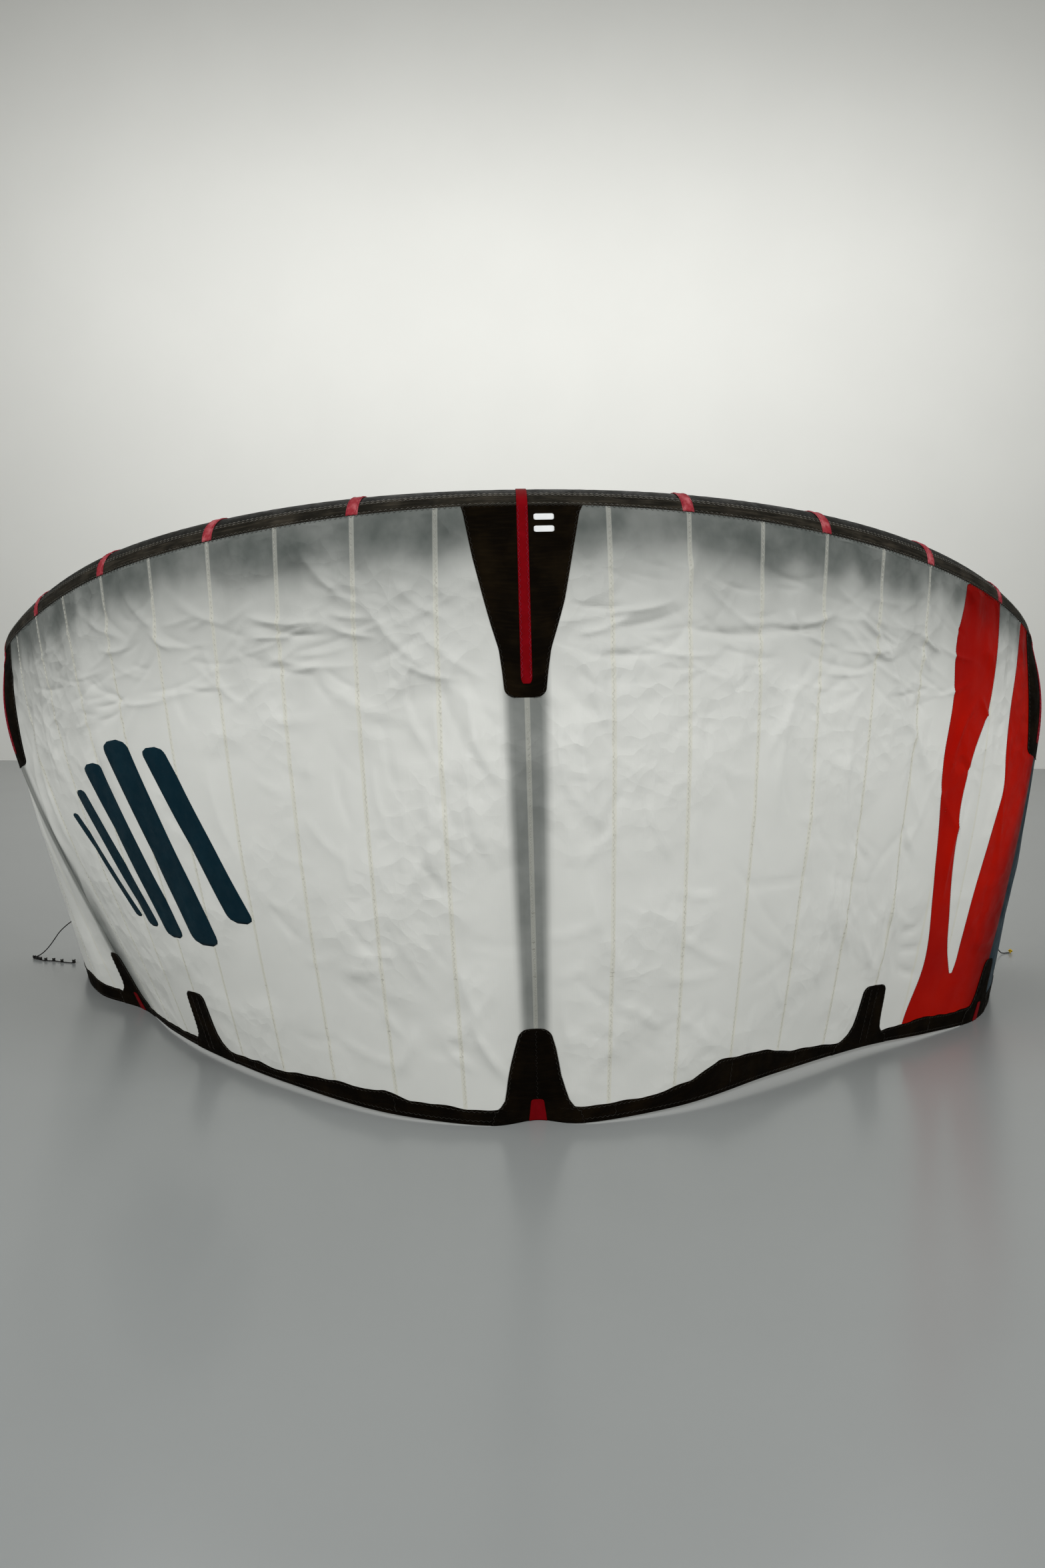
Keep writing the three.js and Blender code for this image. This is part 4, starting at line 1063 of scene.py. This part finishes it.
def add_leading_edge():
    seams = np.linspace(-TIP, TIP, 2 * TIP * TUBE_RINGS + 1)
    angles = np.linspace(360, 0, TUBE_SIDES, endpoint=False)
    from_joint = np.abs(seams - np.round(seams)) * SEAM_LENGTH
    pinch = -JOINT_PINCH * np.exp(-(from_joint / JOINT_WIDTH) ** 2)
    around = np.radians(angles)[None, :]
    lengthways = np.sin(seams[:, None] * 61 + 3 * np.sin(around * 2))
    pucker = PUCKER * lengthways * np.sin(around * 5 + seams[:, None] * 9)
    rings = tube_point(seams[:, None], angles[None, :], pinch[:, None] + pucker)
    caps = {0: [], -1: []}
    for end, sign in ((0, -1), (-1, 1)):
        centre, radius, _, along, _, _ = frame_at(seams[end])
        for turn in np.linspace(0, math.pi / 2, 8)[1:]:
            scale = max(math.cos(turn), 0.02)
            rise = CAP_RISE * float(radius) * math.sin(turn)
            caps[end].append(centre + (rings[end] - centre) * scale + along * rise * sign)
    whole = np.concatenate([np.array(caps[0][::-1]), rings, np.array(caps[-1])])
    count = len(whole)
    length = np.repeat(run_length(whole.mean(1))[:, None], TUBE_SIDES, 1)
    girth = np.repeat((np.radians(angles) * MEAN_RADIUS)[None, :], count, 0)
    uv = np.stack([length, girth], -1).reshape(-1, 2)
    piece = add_mesh("leading_edge", whole.reshape(-1, 3), tube_faces(count, TUBE_SIDES), [DACRON], uv)
    dressed(piece, "dark_cloth", *[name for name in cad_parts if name.startswith("leading_edge_")])


STRIP_WIDTH = 42 * MM

# Places of the strip's three lines of stitches, in degrees from its upper or its lower edge
UPPER_LINES = (1.5, 6.5)
LOWER_LINE = 3.5


def strip_angles(seam):
    low = tapered(SEAM_ANGLE, seam)
    radius = station_at(seam)[0][..., 3]
    return low, low + np.degrees(STRIP_WIDTH / radius)


def add_leading_edge_strip():
    seams = np.linspace(-TIP, TIP, 321)
    low, high = strip_angles(seams)
    t = np.linspace(0, 1, 9)
    angles = high[:, None] + (low - high)[:, None] * t[None, :]
    rise = np.where((t == 0) | (t == 1), 0.5, 1.0)[None, :] * MM
    outer = tube_point(seams[:, None], angles, rise).transpose(1, 0, 2)
    inner = tube_point(seams[:, None], angles, 0.1 * MM).transpose(1, 0, 2)
    add_closed_sheet("leading_edge_strip", outer, inner, STRIP, "dark_cloth")
    line = np.linspace(-TIP + 0.05, TIP - 0.05, 200)
    low, high = strip_angles(line)
    paths = [
        path_on_tube(line, high - UPPER_LINES[0], 1.2 * MM),
        path_on_tube(line, high - UPPER_LINES[1], 1.3 * MM),
        path_on_tube(line, low + LOWER_LINE, 1.3 * MM),
    ]
    add_thread("leading_edge_stitching", paths, PALE_THREAD, "dark_cloth")


def band_grid(seam, angles, lift):
    seams = seam + BAND_HALF_WIDTH * RIB
    return tube_point(seams[None, :], angles[:, None], lift + RIB_EDGE[None, :])


def add_bands():
    threads = []
    for side, sign in (("left", -1), ("right", 1)):
        for number in range(1, OUTER_STRUT):
            seam = sign * number
            angles = np.linspace(BAND_END_ANGLE, float(tapered(SEAM_ANGLE, seam)) + 1.0, 60)
            outer, inner = (band_grid(seam, angles, lift) for lift in BAND_HEIGHTS)
            name = f"webbing_band_{side}_{number}"
            add_closed_sheet(f"{name}_strap", outer, inner, BAND_WEBBING, "red_webbing", name)
            stitched = np.linspace(angles[0] - 2, angles[-1] + 2, 20)
            for edge in (-0.78, 0.78):
                line = np.full(20, seam + edge * BAND_HALF_WIDTH)
                threads.append(path_on_tube(line, stitched, 2.7 * MM))
    add_thread("webbing_band_stitching", threads, PINK_THREAD, "red_webbing")


# The hem band with its stitching

HEM_WAVER = 0.8 * MM
HEM_LOW_LINE = 0.993
HEM_JOINTS = (-4.2, -2.35, -1.02, 0.55, 1.52, 2.2, 4.0)

def hem_top(seam):
    return np.interp(seam, HEM_TOP[:, 0], HEM_TOP[:, 1])


def add_hem():
    seams = np.linspace(-TIP, TIP, 700)
    t = np.array([0, 0.05, 0.28, 0.5, 0.75, 0.95, 1.0])
    top = hem_top(seams) + 0.0012 * np.sin(seams * 23) * np.sin(seams * 7.3)
    shares = top[None, :] + (1 - top)[None, :] * t[:, None]
    low = np.where((t == 0) | (t == 1), 1, 0)[:, None]
    waver = HEM_WAVER * np.sin(seams * 19 + 2 * np.sin(seams * 5))[None, :] * np.sin(math.pi * t)[:, None]
    grid_seams = np.repeat(seams[None, :], len(t), 0)
    outer = cloth_point(grid_seams, shares, 2.2 * MM - 0.6 * MM * low + waver)
    inner = cloth_point(grid_seams, shares, CLOTH_LIFT + 0.2 * MM)
    nodes = [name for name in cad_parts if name.startswith("hem_")]
    add_closed_sheet("hem", outer, inner, PATCH, "dark_cloth", *nodes)
    lines = np.linspace(-TIP + 0.02, TIP - 0.02, 300)
    paths = [
        path_on_cloth(lines, hem_top(lines) + 0.003, 2.5 * MM),
        path_on_cloth(lines, np.full(300, HEM_LOW_LINE), 2.5 * MM),
    ]
    for seam in HEM_JOINTS:
        downs = np.linspace(hem_top(seam) + 0.003, HEM_LOW_LINE, 12)
        paths.append(path_on_cloth(np.full(12, seam), downs, 2.9 * MM))
    add_thread("hem_stitching", paths, DARK_THREAD, "dark_cloth")


# Wedges, batten pockets, tabs and stripes

def add_reinforcements():
    threads = []
    for name, seam, outline, mirrored, at_hem in PATCHES:
        lift = LOWER_PATCH_LIFT if at_hem else UPPER_PATCH_LIFT
        whole = outline
        if at_hem:
            whole = np.vstack([outline, [(1.0, outline[-1, 1] - 0.02, outline[-1, 2] + 0.02)]])
        sides = add_patch(
            f"{name}_patch", seam, whole, mirrored, lift, PATCH, "dark_cloth", name, 22, 0.02, at_hem)
        on_top = lift + 0.2 * MM
        for (seams, shares), sign in zip(sides, (1, -1)):
            threads.append(path_on_cloth(seams + sign * 0.004 / SEAM_LENGTH, shares, on_top))
        inner_lines, ends = (), ()
        if name.startswith("batten"):
            inner_lines, ends = (-0.05, 0.03), (outline[0, 0] + 0.008, 0.99)
        if name == "lower_wedge_centre":
            inner_lines, ends = (0,), (0.855, 0.965)
        for shift in inner_lines:
            threads.append(path_on_cloth(np.full(20, seam + shift), np.linspace(*ends, 20), on_top))
    add_thread("reinforcement_stitching", threads, DARK_THREAD, "dark_cloth")


def add_tabs():
    for side, seam, outline, mirrored in TABS:
        name = f"webbing_tab_{side}"
        add_patch(
            f"{name}_loop", seam, outline, mirrored, TAB_LIFT, WEBBING, "red_webbing", name, 10, 0.006,
            True, rows=16)


def stripe_rows(seam, end, lift):
    angles = np.linspace(STRIPE_TOP_ANGLE, float(tapered(SEAM_ANGLE, seam)) + 6, 26)
    corner = end - STRIPE_CORNER
    turn = 1 - np.sin(np.linspace(0, math.pi / 2, 8))
    downs = np.concatenate([np.linspace(0.003, corner, 60), end - STRIPE_CORNER * turn[1:]])
    over = np.clip((downs - corner) / STRIPE_CORNER, 0, 1)
    narrow = 1 - 0.55 * (1 - np.sqrt(1 - 0.98 * over ** 2))
    height = STRIPE_BASE + (lift - STRIPE_BASE) * np.linspace(0, 1, len(angles)) ** 3
    over_tube = seam + STRIPE_HALF_WIDTH * RIB
    upper = tube_point(over_tube[None, :], angles[:, None], height[:, None] + RIB_EDGE[None, :])
    seams = seam + STRIPE_HALF_WIDTH * narrow[:, None] * RIB[None, :]
    lower = cloth_point(seams, np.repeat(downs[:, None], len(RIB), 1), lift + RIB_EDGE[None, :])
    return np.concatenate([upper, lower]), len(angles)


def add_stripes():
    threads = []
    for side, seam, end in STRIPES:
        outer, on_tube = stripe_rows(seam, end, STRIPE_HEIGHTS[0])
        inner, _ = stripe_rows(seam, end, STRIPE_HEIGHTS[1])
        inner[:on_tube] += (inner[:on_tube] - outer[:on_tube]) * 0.2
        name = f"webbing_stripe_{side}"
        add_closed_sheet(f"{name}_strap", outer, inner, WEBBING, "red_webbing", name)
        for edge in (-0.76, 0.76):
            line = np.full(40, seam + edge * STRIPE_HALF_WIDTH)
            threads.append(path_on_cloth(line, np.linspace(0.006, end - 0.008, 40), 3.6 * MM))
    add_thread("webbing_stripe_stitching", threads, PINK_THREAD, "red_webbing")


# Zigzag stitches along the canopy's seams

SEAM_TOP = 0.012
SEAM_LIFT = CLOTH_LIFT + 0.3 * MM

def add_seam_stitching():
    seam_paths = []
    for half in range(-2 * OUTER_STRUT + 1, 2 * OUTER_STRUT):
        seam = half / 2
        if 3.4 < seam < OUTER_STRUT:
            continue
        start, end = (0.34, 0.848) if half == 0 else (SEAM_TOP, float(hem_top(seam)) - 0.004)
        if abs(seam) == BATTEN:
            end = 0.868
        wander = 0.004 * np.sin(np.linspace(0, 9, 60) + half)
        seam_paths.append(path_on_cloth(seam + wander, np.linspace(start, end, 60), SEAM_LIFT))
    for side in (-1, 1):
        for seam in (5.95, 7.0):
            shares = np.linspace(SEAM_TOP, 0.93, 60)
            seam_paths.append(path_on_cloth(np.full(60, side * seam), shares, SEAM_LIFT))
    made = np.random.default_rng(SEED)
    holes = []
    for half in range(-9, 10):
        for _ in range(made.integers(3, 8)):
            share = made.uniform(0.16, 0.9)
            reach = made.uniform(0.007, 0.013)
            seams = half / 2 + made.normal(0, 0.003) + np.array([-reach, reach])
            holes.append(path_on_cloth(seams, np.array([share, share]), CLOTH_LIFT + 0.35 * MM))
    add_thread("canopy_stitch_holes", holes, HOLE_THREAD, "canopy_cloth")
    add_thread("canopy_seam_stitching", seam_paths, YELLOW_THREAD, "canopy_cloth")
    lines = np.linspace(-TIP + 0.05, TIP - 0.05, 300)
    edge_path = path_on_cloth(lines, np.full(300, 0.004), CLOTH_LIFT + 1.1 * MM)
    add_thread("canopy_edge_stitching", [edge_path], DARK_THREAD, "dark_cloth")
    red_paths = []
    for edge, end in ((RED_START, 0.965), (WHITE_START, WHITE_BOTTOM), (WHITE_END, WHITE_BOTTOM)):
        shares = np.linspace(SEAM_TOP, end, 60)
        red_paths.append(path_on_cloth(edge_at(edge, shares), shares, SEAM_LIFT, FINE_STITCH_STEP))
    add_thread("red_cloth_stitching", red_paths, CRIMSON_THREAD, "red_cloth")


# The struts, fitted to the tube at the top and flat on the floor

def strut_axis(seam, radius, share):
    return canopy_base(seam, share) - canopy_normal(seam, share) * (radius + STRUT_CLEARANCE)[..., None]


def clear_of_tube(rings, direction, seam):
    centre, radius, _, along, _, _ = frame_at(seam)
    clear = float(radius) + 0.8 * MM
    for row, ahead in enumerate(direction):
        offset = rings[row] - centre
        offset -= (offset @ along)[:, None] * along
        step = ahead - (ahead @ along) * along
        for k in np.nonzero(np.linalg.norm(offset, axis=-1) < clear)[0]:
            a, b, c = step @ step, 2 * offset[k] @ step, offset[k] @ offset[k] - clear ** 2
            rings[row, k] += ahead * (-b + math.sqrt(b * b - 4 * a * c)) / (2 * a)


def add_strut(name, seam, radius_mm, taper_mm):
    shares = np.linspace(WRAP_SHARE, 1, 90)
    radius = (radius_mm - taper_mm * shares) * MM
    axis = strut_axis(np.full_like(shares, seam), radius, shares)
    direction = unit(np.gradient(axis, axis=0))
    along = frame_at(seam)[3]
    side = unit(along - (along * direction).sum(-1, keepdims=True) * direction)
    front = np.cross(direction, side)
    angle = np.linspace(0, 2 * math.pi, STRUT_SIDES, endpoint=False)
    turn = angle[None, :, None]
    circle = side[:, None] * np.cos(turn) + front[:, None] * np.sin(turn)
    wrinkle = 0.5 * MM * np.sin(shares * 70)[:, None] * np.sin(3 * angle)[None, :]
    rings = axis[:, None] + circle * (radius[:, None] + wrinkle - 0.4 * MM)[..., None]
    clear_of_tube(rings, direction, seam)
    foot = rings[-1]
    foot -= direction[-1] * (foot[:, 2:] / direction[-1][2])
    foot[:, 2] = FLOOR_CLEARANCE
    rings[:, :, 2] = np.maximum(rings[:, :, 2], FLOOR_CLEARANCE)
    length = np.repeat(run_length(axis)[:, None], STRUT_SIDES, 1)
    girth = np.repeat((angle * radius_mm * MM)[None, :], len(shares), 0)
    faces = tube_faces(len(shares), STRUT_SIDES, flipped=True)
    uv = np.stack([length, girth], -1).reshape(-1, 2)
    piece = add_mesh(f"strut_{name}_tube", rings.reshape(-1, 3), faces, [STRUT], uv)
    dressed(piece, "strut_cloth", f"strut_{name}")


# A plain print in place of the one that is left out, and two short bars on the wedge

def add_bar(name, bar, slant, material, lift, rows, slot):
    seam, share, across, along = bar
    half = 0.5 * across / SEAM_LENGTH
    t = np.linspace(-0.5, 0.5, rows)
    corner = min(across, along) * 0.3
    inset = np.clip(1 - (0.5 - np.abs(t)) * along / corner, 0, 1)
    narrow = half - corner / SEAM_LENGTH * (1 - np.sqrt(1 - inset ** 2))
    k = np.linspace(-1, 1, 12)
    seams = (seam + t * slant)[:, None] + narrow[:, None] * k[None, :]
    shares = np.repeat((share + t * along / CHORD)[:, None], len(k), 1)
    rim = np.where((np.abs(k)[None, :] == 1) | (np.abs(t)[:, None] == 0.5), 1, 0)
    outer = cloth_point(seams, shares, lift - 0.1 * MM * rim)
    inner = cloth_point(seams, shares, lift - 0.4 * MM)
    add_closed_sheet(name, outer, inner, material, slot)


def add_prints():
    for number, bar in enumerate(PRINTED_BARS, 1):
        add_bar(f"printed_bar_{number}", bar, BAR_SLANT, PRINT, CLOTH_LIFT + 0.9 * MM, 60, "navy_cloth")
    for number, bar in enumerate(WEDGE_BARS, 1):
        add_bar(f"wedge_bar_{number}", bar, 0.0, WHITE_PRINT, 2.5 * MM, 14, "canopy_cloth")


# Floor, backdrop and light

def stage_material(name, colour, roughness, uneven):
    material, tree, shader, place = new_material(name)
    darker = tuple(0.8 * value for value in colour)
    patches = ramp(tree, noise(tree, place, 1.3, 4.0), 0.3, 0.7, 0.0, uneven)
    set_shader(tree, shader, mix_colour(tree, patches, colour, darker), roughness, 0.5)
    return material


def add_stage():
    for name, points, material in (
            ("floor", [(-16, -12, 0), (16, -12, 0), (16, 16, 0), (-16, 16, 0)],
             stage_material("floor paint", (0.245, 0.257, 0.253), 0.24, 0.12)),
            ("backdrop", [(-16, 7.8, 0), (16, 7.8, 0), (16, 7.8, 9), (-16, 7.8, 9)],
             stage_material("wall paint", (0.78, 0.78, 0.74), 0.7, 0.1))):
        mesh = bpy.data.meshes.new(name)
        mesh.from_pydata(points, [], [(0, 1, 2, 3)])
        mesh.materials.append(material)
        piece = bpy.data.objects.new(name, mesh)
        bpy.context.scene.collection.objects.link(piece)


def add_light(name, place, target, size, power):
    data = bpy.data.lights.new(name, "AREA")
    data.shape = "RECTANGLE"
    data.size, data.size_y = size
    data.energy = power
    light = bpy.data.objects.new(name, data)
    light.location = place
    light.rotation_euler = (Vector(target) - light.location).to_track_quat("-Z", "Y").to_euler()
    light.visible_camera = False
    bpy.context.scene.collection.objects.link(light)
    return light


def add_lighting():
    world = bpy.data.worlds.new("studio")
    world.use_nodes = True
    background = world.node_tree.nodes["Background"]
    background.inputs[0].default_value = (0.97, 0.98, 0.96, 1.0)
    background.inputs[1].default_value = 0.3
    bpy.context.scene.world = world
    for name, side in (("key_left", -1), ("key_right", 1)):
        key = add_light(name, (3.6 * side, -2.45, 3.6), (0.4 * side, 0.3, 0.7), (2.4, 0.9), 160)
        key.visible_glossy = False
    add_light("front_fill", (0.5, -5.2, 1.6), (0.0, 0.3, 0.6), (5.0, 2.0), 40)
    add_light("back_fill", (0.0, 3.2, 4.6), (0.0, 1.0, 0.3), (5.0, 2.0), 35)
    add_light("wall_wash", (0.0, 4.6, 4.6), (0.0, 7.8, 1.4), (9.0, 1.6), 165)
    bpy.context.scene.view_settings.view_transform = "Standard"


add_camera()
add_tip_line("left", LEFT_LINE, LEFT_KNOTS, CORD, "dark_cord")
add_tip_line("right", RIGHT_LINE, (), YELLOW_CORD, "yellow_cord")
canopy = add_canopy()
add_leading_edge()
add_leading_edge_strip()
add_bands()
add_hem()
add_reinforcements()
add_tabs()
add_stripes()
add_seam_stitching()
for strut in STRUTS:
    add_strut(*strut)
add_prints()
add_stage()
add_lighting()
